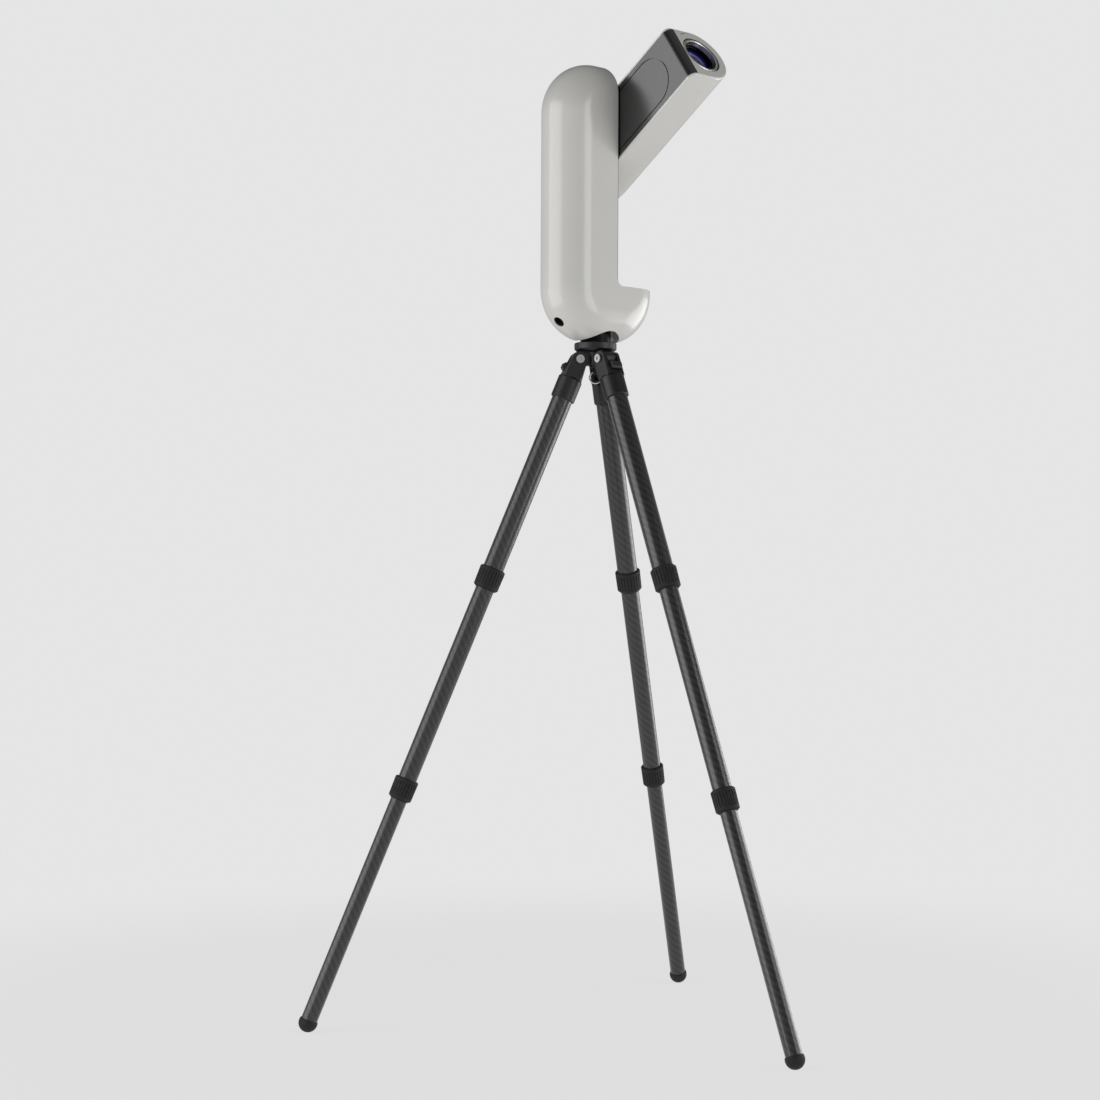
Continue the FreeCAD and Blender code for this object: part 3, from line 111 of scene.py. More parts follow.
class TrimSettings(PropertyGroup):
    """Sizes of the small pieces added to the frame."""

    socket_flats: length_property("Socket flats", 0.004, "Across the flats of a bolt's hexagon socket")
    socket_radius: length_property("Socket radius", 0.00255, "Outside of the insert in a bolt's head")
    socket_depth: length_property("Socket depth", 0.0011, "Thickness of that insert")
    socket_sink: length_property("Socket sink", 0.00022, "How far that insert lies below the bolt's face")
    wiper_height: length_property("Wiper height", 0.0014, "Height of the wiper under a twist lock")
    wiper_width: length_property("Wiper width", 0.0013, "Width of that wiper")
    wiper_gap: length_property("Wiper gap", 0.0003, "Clearance between that wiper and its tube")
    wiper_sink: length_property("Wiper sink", 0.0002, "How deep that wiper sits in its lock")
    rib_width: length_property("Rib width", 0.0009, "Width of a grip rib on an angle catch")
    rib_rise: length_property("Rib rise", 0.0005, "Height of a grip rib on an angle catch")
    rib_share: FloatProperty(name="Rib share", description="Length of a grip rib, of its catch",
                             default=0.8, min=0, max=1)
    rib_count: IntProperty(name="Rib count", description="Grip ribs on an angle catch", default=4, min=1)
    ring_width: length_property("Light ring width", 0.0012, "Width of the light round the power button")
    ring_proud: length_property("Light ring rise", 0.0002, "How far that light stands out")
    ring_share: FloatProperty(name="Light ring share", default=0.93, min=0, max=1,
                              description="Inside of that light as a share of the button's flange")
    baffle_step: length_property("Baffle spacing", 0.034, "Distance between the rings inside the barrel")
    baffle_count: IntProperty(name="Baffles", description="Rings in the barrel", default=3, min=1)
    baffle_opening: FloatProperty(name="Baffle opening", description="First opening, as a share of the bore",
                                  default=0.86, min=0, max=1)
    baffle_taper: FloatProperty(name="Baffle taper", description="What each opening loses to the last",
                                default=0.04, min=0, max=1)
    baffle_root: length_property("Baffle root", 0.0004, "Half the thickness of a ring at the barrel")
    # The seam is real, but its black strip is painted shade for the shadow in the gap between shell and cover; the
    # filler named below is that strip
    seam_width: length_property("Seam width", 0.0009, "Widest part of the seam in the lens end")
    seam_share: FloatProperty(name="Seam radius", description="As a share of the arm's half height",
                              default=0.92, min=0, max=1)
    seam_start: FloatProperty(name="Seam start", description="Where that seam begins, from the level",
                              subtype="ANGLE", default=math.radians(96))
    seam_span: FloatProperty(name="Seam span", description="Angle that the seam takes up",
                             subtype="ANGLE", default=math.radians(30))
    seam_sink: length_property("Seam depth", 0.0006, "How deep the seam's filler goes")
    seam_proud: length_property("Seam rise", 0.00004, "How far the seam's filler stands out")


class CameraSettings(PropertyGroup):
    """Where the camera stands, measured from the tripod's axis on the floor."""

    distance: length_property("Distance", 3.39873, "From the tripod's axis to the camera, level")
    height: length_property("Height", 0.61147, "Camera above the floor")
    bearing: FloatProperty(name="Bearing", description="Direction of the camera from the axis, from +X",
                           subtype="ANGLE", default=math.radians(-44.0))
    turn: FloatProperty(name="Turn", description="How far the camera looks to the left of the axis",
                        subtype="ANGLE", default=math.radians(1.0834))
    pitch: FloatProperty(name="Pitch", description="How far the camera looks up",
                         subtype="ANGLE", default=math.radians(1.1906))
    roll: FloatProperty(name="Roll", description="How far the camera leans to its left",
                        subtype="ANGLE", default=math.radians(0.2744))
    lens: FloatProperty(name="Focal length", description="For a sensor 36 mm wide, in mm",
                        default=77.098, min=1)


class StudioSettings(PropertyGroup):
    """Floor, backdrop and lamps."""

    backdrop: colour_property("Backdrop", "E5E5E6", "Paper behind the object")
    behind: FloatProperty(name="Behind", description="Light from the paper behind the object",
                          default=0.4, min=0)
    facing: FloatProperty(name="Facing", description="Light from the room on the camera's side",
                          default=0.62, min=0)
    ceiling: FloatProperty(name="Ceiling", description="Light from above", default=0.14, min=0)
    key: FloatProperty(name="Key", description="Brightness of the large softbox on the left",
                       default=1.8, min=0)
    fill: FloatProperty(name="Fill", description="Brightness of the softbox on the right of the camera",
                        default=2.0, min=0)
    rim: FloatProperty(name="Rim", description="Brightness of the low softbox on the right",
                       default=3.0, min=0)
    top: FloatProperty(name="Top", description="Brightness of the softbox overhead", default=0.15, min=0)
    floor_shade: FloatProperty(name="Floor shade", description="Share of the floor that takes shade",
                               default=0.12, min=0, max=1)
    floor_near: length_property("Floor near", 0.75, "Radius where the floor starts to fade out")
    floor_far: length_property("Floor far", 1.9, "Radius where the floor has faded out")


# Shader nodes

def add(tree, kind, inputs=None, output=0, **settings):
    """Adds a node, sets it up, sets or links its inputs, and gives back one of its outputs."""
    node = tree.nodes.new("ShaderNode" + kind)
    for name, value in settings.items():
        setattr(node, name, value)
    for name, value in (inputs or {}).items():
        if isinstance(value, NodeSocket):
            tree.links.new(value, node.inputs[name])
        else:
            node.inputs[name].default_value = value
    return node.outputs[output] if node.outputs else None


def new_tree(name):
    """A new material with an empty node tree."""
    material = bpy.data.materials.new(name)
    material.use_nodes = True
    material.node_tree.nodes.clear()
    return material, material.node_tree


def surface(tree, inputs):
    """Closes a tree with its shader."""
    shader = add(tree, "BsdfPrincipled", inputs)
    add(tree, "OutputMaterial", {"Surface": shader})


def opaque(colour):
    return (*colour, 1)


def shaded(colour, factor):
    """A colour made darker or lighter."""
    return (*(channel * factor for channel in colour), 1)


def speckle(tree, spacing, detail=2.0, roughness=0.5):
    """Noise with one bump about every spacing, fixed to the object."""
    where = add(tree, "TexCoord", output="Object")
    return add(tree, "TexNoise", {"Vector": where, "Scale": 1 / spacing, "Detail": detail,
                                  "Roughness": roughness})


def between(tree, factor, low, high):
    """Mixes two colours by a varying factor."""
    return add(tree, "Mix", {"Factor": factor, "A": low, "B": high}, output="Result", data_type="RGBA")


def spread(tree, value, low, high):
    """A noise value, which keeps near the middle, stretched to a range."""
    return add(tree, "MapRange", {"Value": value, "From Min": NOISE_DARK, "From Max": NOISE_BRIGHT,
                                  "To Min": low, "To Max": high})


def relief(tree, height, depth, strength=1.0, normal=None):
    inputs = {"Height": height, "Distance": depth, "Strength": strength}
    if normal is not None:
        inputs["Normal"] = normal
    return add(tree, "Bump", inputs)


def lacquered_abs(colour):
    """ABS, moulded and sprayed with clear lacquer: even colour, sharp gloss, faint orange peel."""
    material, tree = new_tree("moulded_abs_gloss_lacquer")
    peel = speckle(tree, 0.004)
    cloud = speckle(tree, 0.09, 3)
    surface(tree, {
        "Base Color": between(tree, spread(tree, cloud, 0, 1),
                              shaded(colour, 0.985), shaded(colour, 1.015)),
        "Roughness": spread(tree, cloud, 0.3, 0.36),
        "IOR": 1.53,
        "Coat Weight": 0.6,
        "Coat Roughness": 0.09,
        "Normal": relief(tree, peel, 0.00002),
    })
    return material


def satin_lacquer(colour):
    """Black ABS under a satin lacquer: near black, with broad soft reflections that turn it grey."""
    material, tree = new_tree("moulded_abs_satin_lacquer")
    peel = speckle(tree, 0.003)
    surface(tree, {
        "Base Color": opaque(colour),
        "Roughness": spread(tree, peel, 0.24, 0.27),
        "IOR": 1.5,
        "Coat Weight": 1.0,
        "Coat Roughness": 0.2,
        "Normal": relief(tree, peel, 0.00001),
    })
    return material


def soft_touch(colour):
    """ABS with a sprayed soft-touch coat: very matt, with a fine dusty grain."""
    material, tree = new_tree("sprayed_soft_touch_coat")
    dust = speckle(tree, 0.0012, 4)
    surface(tree, {
        "Base Color": between(tree, dust, shaded(colour, 0.7), shaded(colour, 1.4)),
        "Roughness": spread(tree, dust, 0.55, 0.7),
        "IOR": 1.48,
        "Normal": relief(tree, dust, 0.00005),
    })
    return material


def carbon_twill(side, part, warp_painted_sheen, weft, tow):
    """Carbon cloth in a 2/2 twill under clear epoxy: diagonal steps of grey in a deep gloss. The lighter steps are
    painted sheen: tows along the tube are painted lighter than tows round it, for the light they reflect.

    The tows are drawn 3 mm wide, because real ones of 2 mm are too fine to show.
    """
    node = f"{side}_{part}_tube"
    material, tree = new_tree(f"wound_carbon_twill_{side}_{part}")
    along = Vector(joints[f"{side}_middle_slide"]["axis"])
    centre = Vector(joints[f"{side}_upper_lock_turn"]["pos_m"])
    across = along.orthogonal().normalized()
    round_way = along.cross(across)
    radius = reach(node, centre, across)
    tows = round(math.tau * radius / tow / TWILL_REPEAT) * TWILL_REPEAT
    where = add(tree, "TexCoord", output="Object")
    offset = add(tree, "VectorMath", {0: where, 1: centre}, operation="SUBTRACT")
    parts = [add(tree, "VectorMath", {0: offset, 1: way}, output="Value", operation="DOT_PRODUCT")
             for way in (across, round_way, along)]
    angle = add(tree, "Math", {0: parts[1], 1: parts[0]}, operation="ARCTAN2")
    u = add(tree, "Math", {0: angle, 1: tows / math.tau}, operation="MULTIPLY")
    v = add(tree, "Math", {0: parts[2], 1: 1 / tow}, operation="MULTIPLY")
    cells = [add(tree, "Math", {0: way}, operation="FLOOR") for way in (u, v)]
    diagonal = add(tree, "Math", {0: cells[0], 1: cells[1]}, operation="ADD")
    step = add(tree, "Math", {0: diagonal, 1: TWILL_REPEAT}, operation="FLOORED_MODULO")
    on_top = add(tree, "Math", {0: step, 1: TWILL_REPEAT / 2 - 0.5}, operation="LESS_THAN")
    crowns = []
    for way in (u, v):
        place = add(tree, "Math", {0: way}, operation="FRACT")
        turn = add(tree, "Math", {0: place, 1: math.pi}, operation="MULTIPLY")
        crowns.append(add(tree, "Math", {0: turn}, operation="SINE"))
    crown = add(tree, "Mix", {"Factor": on_top, "A": crowns[1], "B": crowns[0]})
    # Tows on top along the tube take the lighter colour: painted sheen laid over the twill pattern
    weave_and_painted_sheen = between(tree, on_top, opaque(weft), opaque(warp_painted_sheen))
    streak = speckle(tree, 0.02, 4, 0.6)
    surface(tree, {
        "Base Color": between(tree, spread(tree, streak, 0, 0.35), weave_and_painted_sheen, opaque(weft)),
        "Roughness": add(tree, "Mix", {"Factor": on_top, "A": 0.42, "B": 0.34}),
        "IOR": 1.45,
        "Coat Weight": 0.7,
        "Coat Roughness": 0.16,
        "Normal": relief(tree, crown, 0.00004, 0.5),
    })
    return material


def powder_coat(colour, grain):
    """Die-cast aluminium with a baked powder coat: satin black with a pebbled skin.

    The grain is drawn at 1.2 mm, because the real 0.3 mm is too fine to show.
    """
    material, tree = new_tree("baked_powder_coat_on_casting")
    pebble = speckle(tree, grain, 3)
    surface(tree, {
        "Base Color": between(tree, pebble, shaded(colour, 0.8), shaded(colour, 1.25)),
        "Roughness": spread(tree, pebble, 0.36, 0.48),
        "Normal": relief(tree, pebble, 0.00006),
    })
    return material


def moulded_nylon(colour):
    """Glass-filled nylon, moulded with a spark-eroded texture: dull black with a fine grain."""
    material, tree = new_tree("moulded_nylon_eroded_texture")
    grain = speckle(tree, 0.0009, 4)
    surface(tree, {
        "Base Color": between(tree, grain, shaded(colour, 0.75), shaded(colour, 1.3)),
        "Roughness": spread(tree, grain, 0.45, 0.6),
        "IOR": 1.53,
        "Normal": relief(tree, grain, 0.00005),
    })
    return material


def moulded_rubber(colour):
    """EPDM rubber, moulded: deep matt black that scuffs grey in patches."""
    material, tree = new_tree("moulded_epdm_rubber")
    scuff = speckle(tree, 0.008, 6, 0.65)
    skin = speckle(tree, 0.001, 3)
    surface(tree, {
        "Base Color": between(tree, spread(tree, scuff, 0, 1), shaded(colour, 0.7), shaded(colour, 1.9)),
        "Roughness": spread(tree, scuff, 0.62, 0.8),
        "IOR": 1.52,
        "Normal": relief(tree, skin, 0.00005),
    })
    return material


def turned_steel(colour):
    """Stainless steel, turned: bright with a soft uneven sheen from the tool."""
    material, tree = new_tree("turned_stainless_steel")
    sheen = speckle(tree, 0.0015, 5)
    surface(tree, {
        "Base Color": between(tree, sheen, shaded(colour, 0.85), opaque(colour)),
        "Metallic": 1.0,
        "Roughness": spread(tree, sheen, 0.22, 0.38),
    })
    return material


def chrome_plate(colour):
    """Steel wire with bright chrome plating: a mirror with a slightly cold tint."""
    material, tree = new_tree("chrome_plated_wire")
    haze = speckle(tree, 0.003)
    surface(tree, {
        "Base Color": opaque(colour),
        "Metallic": 1.0,
        "Roughness": spread(tree, haze, 0.05, 0.12),
    })
    return material


def anodised_aluminium(name, colour, rough):
    """Aluminium, bead blasted and anodised: an even silky metal skin."""
    material, tree = new_tree(name)
    bead = speckle(tree, 0.0007, 3)
    surface(tree, {
        "Base Color": opaque(colour),
        "Metallic": 1.0,
        "Roughness": spread(tree, bead, rough - 0.04, rough + 0.06),
        "Normal": relief(tree, bead, 0.00002),
    })
    return material


def milled_brass(colour):
    """Brass, hobbed: warm metal, a little dull where it has darkened."""
    material, tree = new_tree("hobbed_brass")
    patina = speckle(tree, 0.004, 5)
    surface(tree, {
        "Base Color": between(tree, spread(tree, patina, 0, 1), shaded(colour, 0.7), opaque(colour)),
        "Metallic": 1.0,
        "Roughness": spread(tree, patina, 0.25, 0.42),
    })
    return material


def moulded_acetal(colour):
    """Acetal, moulded: waxy white with a soft gloss."""
    material, tree = new_tree("moulded_acetal")
    flow = speckle(tree, 0.012, 3)
    surface(tree, {
        "Base Color": between(tree, flow, shaded(colour, 0.94), opaque(colour)),
        "Roughness": spread(tree, flow, 0.36, 0.44),
        "IOR": 1.48,
        "Subsurface Weight": 0.15,
        "Subsurface Radius": (0.003, 0.003, 0.0025),
        "Subsurface Scale": 1.0,
    })
    return material


def coated_glass(colour):
    """Crown glass, polished and coated against reflections: a deep violet-blue sheen over a dark tube."""
    material, tree = new_tree("polished_coated_crown_glass")
    bloom = speckle(tree, 0.03)
    surface(tree, {
        "Base Color": between(tree, bloom, shaded(colour, 0.9), shaded(colour, 1.1)),
        "Roughness": 0.03,
        "IOR": 1.52,
        "Transmission Weight": 0.45,
        "Coat Weight": 1.0,
        "Coat Roughness": 0.02,
        "Coat IOR": 1.38,
        "Coat Tint": (0.62, 0.6, 1.0, 1),
    })
    return material


def solder_mask(colour):
    """Fibreglass board under solder mask: glossy green with paler tracks beneath."""
    material, tree = new_tree("screened_solder_mask")
    where = add(tree, "TexCoord", output="Object")
    tracks = add(tree, "TexVoronoi", {"Vector": where, "Scale": 260.0}, feature="DISTANCE_TO_EDGE",
                 distance="MANHATTAN")
    copper = add(tree, "Math", {0: tracks, 1: 0.08}, operation="LESS_THAN")
    surface(tree, {
        "Base Color": between(tree, copper, opaque(colour), shaded(colour, 2.2)),
        "Roughness": 0.25,
        "IOR": 1.55,
        "Normal": relief(tree, copper, 0.00003, 0.6),
    })
    return material


def shrink_sleeve(colour):
    """PVC sleeve shrunk over the cells: thin glossy blue with a slight ripple."""
    material, tree = new_tree("heat_shrunk_pvc_sleeve")
    ripple = speckle(tree, 0.015, 2)
    surface(tree, {
        "Base Color": between(tree, ripple, shaded(colour, 0.85), opaque(colour)),
        "Roughness": spread(tree, ripple, 0.2, 0.32),
        "IOR": 1.53,
        "Normal": relief(tree, ripple, 0.0004, 0.4),
    })
    return material


def frosted_diffuser(colour):
    """Polycarbonate light guide, frosted: milky, and unlit here."""
    material, tree = new_tree("frosted_polycarbonate_light_guide")
    frost = speckle(tree, 0.0008, 3)
    surface(tree, {
        "Base Color": opaque(colour),
        "Roughness": spread(tree, frost, 0.45, 0.6),
        "IOR": 1.58,
        "Transmission Weight": 0.25,
    })
    return material


# Places and shapes

def reach(node, origin, way):
    """How far a node reaches from a point in a direction."""
    return max((vertex.co - origin).dot(way) for vertex in frame["nodes"][node].data.vertices)


def reach_near(node, centre, way):
    """How far a node reaches from a point, counting only what lies close to that line."""
    found = []
    for vertex in frame["nodes"][node].data.vertices:
        offset = vertex.co - centre
        along = offset.dot(way)
        if (offset - way * along).length < BOLT_ZONE and along > 0:
            found.append(along)
    return max(found)


def aimed(point, z_axis, x_hint):
    """A place with z along an axis and x as near the hint as it can be."""
    z = Vector(z_axis).normalized()
    y = z.cross(Vector(x_hint)).normalized()
    place = Matrix((y.cross(z), y, z)).transposed().to_4x4()
    place.translation = Vector(point)
    return place


def lathe(profile, segments=96):
    """A closed profile of (radius, height) points turned about z."""
    shape = bmesh.new()
    rings = []
    for index in range(segments):
        turn = math.tau * index / segments
        rings.append([shape.verts.new((radius * math.cos(turn), radius * math.sin(turn), height))
                      for radius, height in profile])
    count = len(profile)
    for index, ring in enumerate(rings):
        following = rings[(index + 1) % segments]
        for corner in range(count):
            after = (corner + 1) % count
            shape.faces.new((ring[corner], following[corner], following[after], ring[after]))
    return shape


def bead(inner, outer, low, high, corners=4):
    """Profile of a ring whose outer edges are rounded, as points for the lathe."""
    soft = min(outer - inner, high - low) * 0.45
    profile = [(inner, low)]
    for centre_z, start in ((low + soft, -90), (high - soft, 0)):
        for step in range(corners + 1):
            angle = math.radians(start + 90 * step / corners)
            profile.append((outer - soft + soft * math.cos(angle), centre_z + soft * math.sin(angle)))
    profile.append((inner, high))
    return profile


def prism(outline, low, high):
    """A closed outline of (x, y) points stood up from one height to another."""
    shape = bmesh.new()
    rings = [[shape.verts.new((x, y, height)) for x, y in outline] for height in (low, high)]
    shape.faces.new(reversed(rings[0]))
    shape.faces.new(rings[1])
    for index in range(len(outline)):
        after = (index + 1) % len(outline)
        shape.faces.new((rings[0][index], rings[0][after], rings[1][after], rings[1][index]))
    return shape


def soften(shape, width, segments=3):
    """Rounds every edge of a shape."""
    bmesh.ops.bevel(shape, geom=shape.edges[:], offset=width, segments=segments, affect="EDGES",
                    clamp_overlap=True)
    return shape


def hexagon_ring(corner, outer, height, segments=48):
    """A round plate with a hexagonal hole."""
    shape = bmesh.new()
    rings = {"in": ([], []), "out": ([], [])}
    for index in range(segments):
        turn = math.tau * index / segments
        into_side = (turn + math.pi / 6) % (math.pi / 3) - math.pi / 6
        inner = corner * math.cos(math.pi / 6) / math.cos(into_side)
        for name, radius in (("in", inner), ("out", outer)):
            for level, ring in zip((0, height), rings[name]):
                ring.append(shape.verts.new((radius * math.cos(turn), radius * math.sin(turn), level)))
    for index in range(segments):
        after = (index + 1) % segments
        for first, second in ((rings["in"][1], rings["out"][1]), (rings["out"][0], rings["in"][0]),
                              (rings["in"][0], rings["in"][1]), (rings["out"][1], rings["out"][0])):
            shape.faces.new((first[index], second[index], second[after], first[after]))
    return shape


def piece(name, shape, place, material, body):
    """Makes a shape a named piece in its place, riding on a body."""
    shape.transform(place)
    bmesh.ops.recalc_face_normals(shape, faces=shape.faces)
    mesh = bpy.data.meshes.new(name)
    shape.to_mesh(mesh)
    shape.free()
    mesh.shade_smooth()
    mesh.set_sharp_from_angle(angle=math.radians(40))
    mesh.materials.append(material)
    item = bpy.data.objects.new(name, mesh)
    bpy.context.scene.collection.objects.link(item)
    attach(item, body)


def paint(material, *nodes):
    """Gives carried-over nodes their finish."""
    for node in nodes:
        slots = frame["nodes"][node].data.materials
        slots.clear()
        slots.append(material)


def made(name):
    """A finish made by an earlier operator."""
    material = bpy.data.materials.get(name)
    if material is None:
        raise RuntimeError(f"make the finish {name} first")
    return material


# Finishes

class TELESCOPE_OT_shells(Operator):
    """Lacquer the column and the arm, satin the cover and coat the liner"""

    bl_idname = "telescope.shells"
    bl_label = "Finish the shells"

    def execute(self, context):
        finish = context.scene.telescope_finish
        paint(lacquered_abs(finish.shell), "body_shell", "arm_shell")
        paint(satin_lacquer(finish.cover), "arm_cover", "arm_lid", "power_button")
        paint(soft_touch(finish.liner), "bay_liner")
        return {"FINISHED"}


class TELESCOPE_OT_tubes(Operator):
    """Weave the carbon tubes, each along its own leg"""

    bl_idname = "telescope.tubes"
    bl_label = "Finish the tubes"

    def execute(self, context):
        finish = context.scene.telescope_finish
        for side in SIDES:
            for part in ("upper", "middle", "lower"):
                twill = carbon_twill(side, part, finish.warp_painted_sheen, finish.weft, finish.tow)
                paint(twill, f"{side}_{part}_tube")
        return {"FINISHED"}


class TELESCOPE_OT_castings(Operator):
    """Powder coat the castings and grain the moulded nylon and rubber"""

    bl_idname = "telescope.castings"
    bl_label = "Finish castings, nylon and rubber"

    def execute(self, context):
        finish = context.scene.telescope_finish
        paint(powder_coat(finish.casting, finish.grain), "tripod_spider", "top_plate", "hook_stem",
              *(f"{side}_yoke" for side in SIDES))
        paint(moulded_nylon(finish.nylon), "charging_socket", "image_sensor",
              *(f"{side}_angle_catch" for side in SIDES))
        paint(moulded_rubber(finish.rubber), "lens_seal",
              *(f"{side}_{part}" for side in SIDES for part in ("upper_lock", "lower_lock", "foot")))
        return {"FINISHED"}


class TELESCOPE_OT_metals(Operator):
    """Finish steel, chrome, aluminium and brass"""

    bl_idname = "telescope.metals"
    bl_label = "Finish the metals"

    def execute(self, context):
        finish = context.scene.telescope_finish
        paint(turned_steel(finish.steel), "pivot_bolts", "base_stud", "azimuth_bearing", "altitude_bearing",
              "azimuth_motor", "altitude_motor", "focus_motor", "focus_screw")
        paint(chrome_plate(finish.chrome), "hook_ring")
        paint(anodised_aluminium("clear_anodised_aluminium", finish.aluminium, 0.3),
              "hub_shaft", "lens_ring")
        paint(anodised_aluminium("black_anodised_aluminium", finish.anodised, 0.36), "azimuth_base",
              "lens_barrel", "lens_retainer", "focus_carriage")
        paint(milled_brass(finish.brass), "charging_contacts", "azimuth_pinion", "altitude_pinion")
        return {"FINISHED"}


class TELESCOPE_OT_inner_parts(Operator):
    """Finish the lens, the gears, the board and the battery"""

    bl_idname = "telescope.inner_parts"
    bl_label = "Finish lens, gears and electronics"

    def execute(self, context):
        finish = context.scene.telescope_finish
        paint(coated_glass(finish.glass), "objective_lens")
        paint(moulded_acetal(finish.acetal), "azimuth_gear", "altitude_gear")
        paint(solder_mask(finish.board), "main_board")
        paint(shrink_sleeve(finish.wrap), "battery_pack")
        return {"FINISHED"}


# Small pieces

class TELESCOPE_OT_bolt_sockets(Operator):
    """Set a hexagon socket into both ends of each pivot bolt"""

    bl_idname = "telescope.bolt_sockets"
    bl_label = "Bolt sockets"

    def execute(self, context):
        trim = context.scene.telescope_trim
        steel = made("turned_stainless_steel")
        corner = trim.socket_flats / 2 / math.cos(math.pi / 6)
        for side in SIDES:
            joint = joints[f"{side}_leg_fold"]
            centre = Vector(joint["pos_m"])
            for end, way in (("near", Vector(joint["axis"])), ("far", -Vector(joint["axis"]))):
                face = reach_near("pivot_bolts", centre, way)
                shape = hexagon_ring(corner, trim.socket_radius, trim.socket_depth)
                place = aimed(centre + way * (face - trim.socket_depth - trim.socket_sink), way, (0, 0, 1))
                piece(f"{side}_bolt_socket_{end}", shape, place, steel, "hub")
        return {"FINISHED"}


class TELESCOPE_OT_lock_wipers(Operator):
    """Fit a rubber wiper where each thinner tube enters its twist lock"""

    bl_idname = "telescope.lock_wipers"
    bl_label = "Lock wipers"

    def execute(self, context):
        trim = context.scene.telescope_trim
        rubber = made("moulded_epdm_rubber")
        for side in SIDES:
            for level, inner in (("upper", "middle"), ("lower", "lower")):
                joint = joints[f"{side}_{level}_lock_turn"]
                down = Vector(joint["axis"])
                centre = Vector(joint["pos_m"])
                across = down.orthogonal().normalized()
                inside = reach(f"{side}_{inner}_tube", centre, across) + trim.wiper_gap
                low = reach(f"{side}_{level}_lock", centre, down)
                profile = bead(inside, inside + trim.wiper_width, -trim.wiper_sink, trim.wiper_height)
                piece(f"{side}_{level}_wiper", lathe(profile, 64), aimed(centre + down * low, down, across),
                      rubber, f"{side}_{level}_collar")
        return {"FINISHED"}


class TELESCOPE_OT_catch_ribs(Operator):
    """Raise grip ribs on the angle catches"""

    bl_idname = "telescope.catch_ribs"
    bl_label = "Catch ribs"

    def execute(self, context):
        trim = context.scene.telescope_trim
        nylon = made("moulded_nylon_eroded_texture")
        for side in SIDES:
            node = f"{side}_angle_catch"
            out = Vector(joints[f"{side}_catch_pull"]["axis"])
            tangent = Vector(joints[f"{side}_leg_fold"]["axis"])
            up = out.cross(tangent)
            low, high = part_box(node)
            middle = (low + high) / 2
            face = reach(node, middle, out)
            half = reach(node, middle, tangent) * trim.rib_share
            spacing = trim.rib_width * 2
            for index in range(trim.rib_count):
                offset = (index - (trim.rib_count - 1) / 2) * spacing
                outline = [(-half, -trim.rib_width / 2), (half, -trim.rib_width / 2),
                           (half, trim.rib_width / 2), (-half, trim.rib_width / 2)]
                shape = soften(prism(outline, -trim.rib_rise, trim.rib_rise), trim.rib_width * 0.3)
                place = aimed(middle + out * face + up * offset, out, tangent)
                piece(f"{side}_catch_rib_{index + 1}", shape, place, nylon,
                      f"{side}_catch")
        return {"FINISHED"}


class TELESCOPE_OT_button_light(Operator):
    """Set a light guide round the power button"""

    bl_idname = "telescope.button_light"
    bl_label = "Button light"

    def execute(self, context):
        trim = context.scene.telescope_trim
        diffuser = frosted_diffuser(context.scene.telescope_finish.light_ring)
        low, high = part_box("power_button")
        shell_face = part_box("body_shell")[0].x
        centre = Vector((shell_face, (low.y + high.y) / 2, (low.z + high.z) / 2))
        inner = (high.y - low.y) / 2 * trim.ring_share
        profile = bead(inner, inner + trim.ring_width, -trim.ring_width, trim.ring_proud)
        piece("button_light", lathe(profile), aimed(centre, (-1, 0, 0), (0, 0, 1)), diffuser,
              "head")
        return {"FINISHED"}


class TELESCOPE_OT_baffles(Operator):
    """Stand thin rings inside the lens barrel, where they stop stray light"""

    bl_idname = "telescope.baffles"
    bl_label = "Barrel baffles"

    def execute(self, context):
        trim = context.scene.telescope_trim
        black = made("black_anodised_aluminium")
        glass_back = -reach("objective_lens", lens_point, -lens_axis)
        bore = reach("objective_lens", lens_point, Vector((0, 1, 0)))
        edge = trim.baffle_root / 4
        for index in range(trim.baffle_count):
            back = glass_back - trim.baffle_step * (index + 1)
            opening = bore * (trim.baffle_opening - trim.baffle_taper * index)
            profile = [(opening, 0), (bore, -trim.baffle_root), (bore, trim.baffle_root), (opening, edge)]
            place = aimed(lens_point + lens_axis * back, lens_axis, (0, 1, 0))
            piece(f"barrel_baffle_{index + 1}", lathe(profile), place, black, "arm")
        return {"FINISHED"}


class TELESCOPE_OT_end_seam(Operator):
    """Draw the short curved seam between shell and cover in the lens end, as a black strip of painted shade for
    the gap
    """

    bl_idname = "telescope.end_seam"
    bl_label = "Lens end seam"

    def execute(self, context):
        trim = context.scene.telescope_trim
        coat = made("sprayed_soft_touch_coat")
        up = Vector((0, 1, 0)).cross(-lens_axis)
        face = reach("arm_shell", lens_point, lens_axis)
        radius = reach("arm_shell", lens_point, up) * trim.seam_share
        steps = 12
        edges = []
        for edge in (1, -1):
            for step in range(steps + 1):
                share = step / steps
                angle = trim.seam_start + trim.seam_span * share
                away = radius + trim.seam_width / 2 * math.sin(math.pi * share) * edge
                edges.append((away * math.cos(angle), away * math.sin(angle)))
        outline = edges[:steps + 1] + edges[-2:steps + 1:-1]
        # The black strip is painted shade: the seam is real, and its dark look stands for the shadow in the gap
        # between shell and cover
        shape = prism(outline, -trim.seam_sink, trim.seam_proud)
        piece("lens_end_seam_shade", shape, aimed(lens_point + lens_axis * face, lens_axis, (0, 1, 0)), coat,
              "arm")
        return {"FINISHED"}


# Studio

def softbox(name, bearing, distance, height, width, tall, glow):
    """A square lamp beside the object, aimed at the tripod's axis at its own height."""
    lamp = bpy.data.lights.new(name, "AREA")
    lamp.shape = "RECTANGLE"
    lamp.size = width
    lamp.size_y = tall
    lamp.energy = glow * math.pi * width * tall
    item = bpy.data.objects.new(name, lamp)
    turn = math.radians(bearing)
    aim = Vector((tripod_axis.x, tripod_axis.y, height))
    item.location = aim + Vector((math.cos(turn), math.sin(turn), 0)) * distance
    item.rotation_euler = (aim - item.location).to_track_quat("-Z", "Y").to_euler()
    item.visible_camera = False
    bpy.context.scene.collection.objects.link(item)
    return item


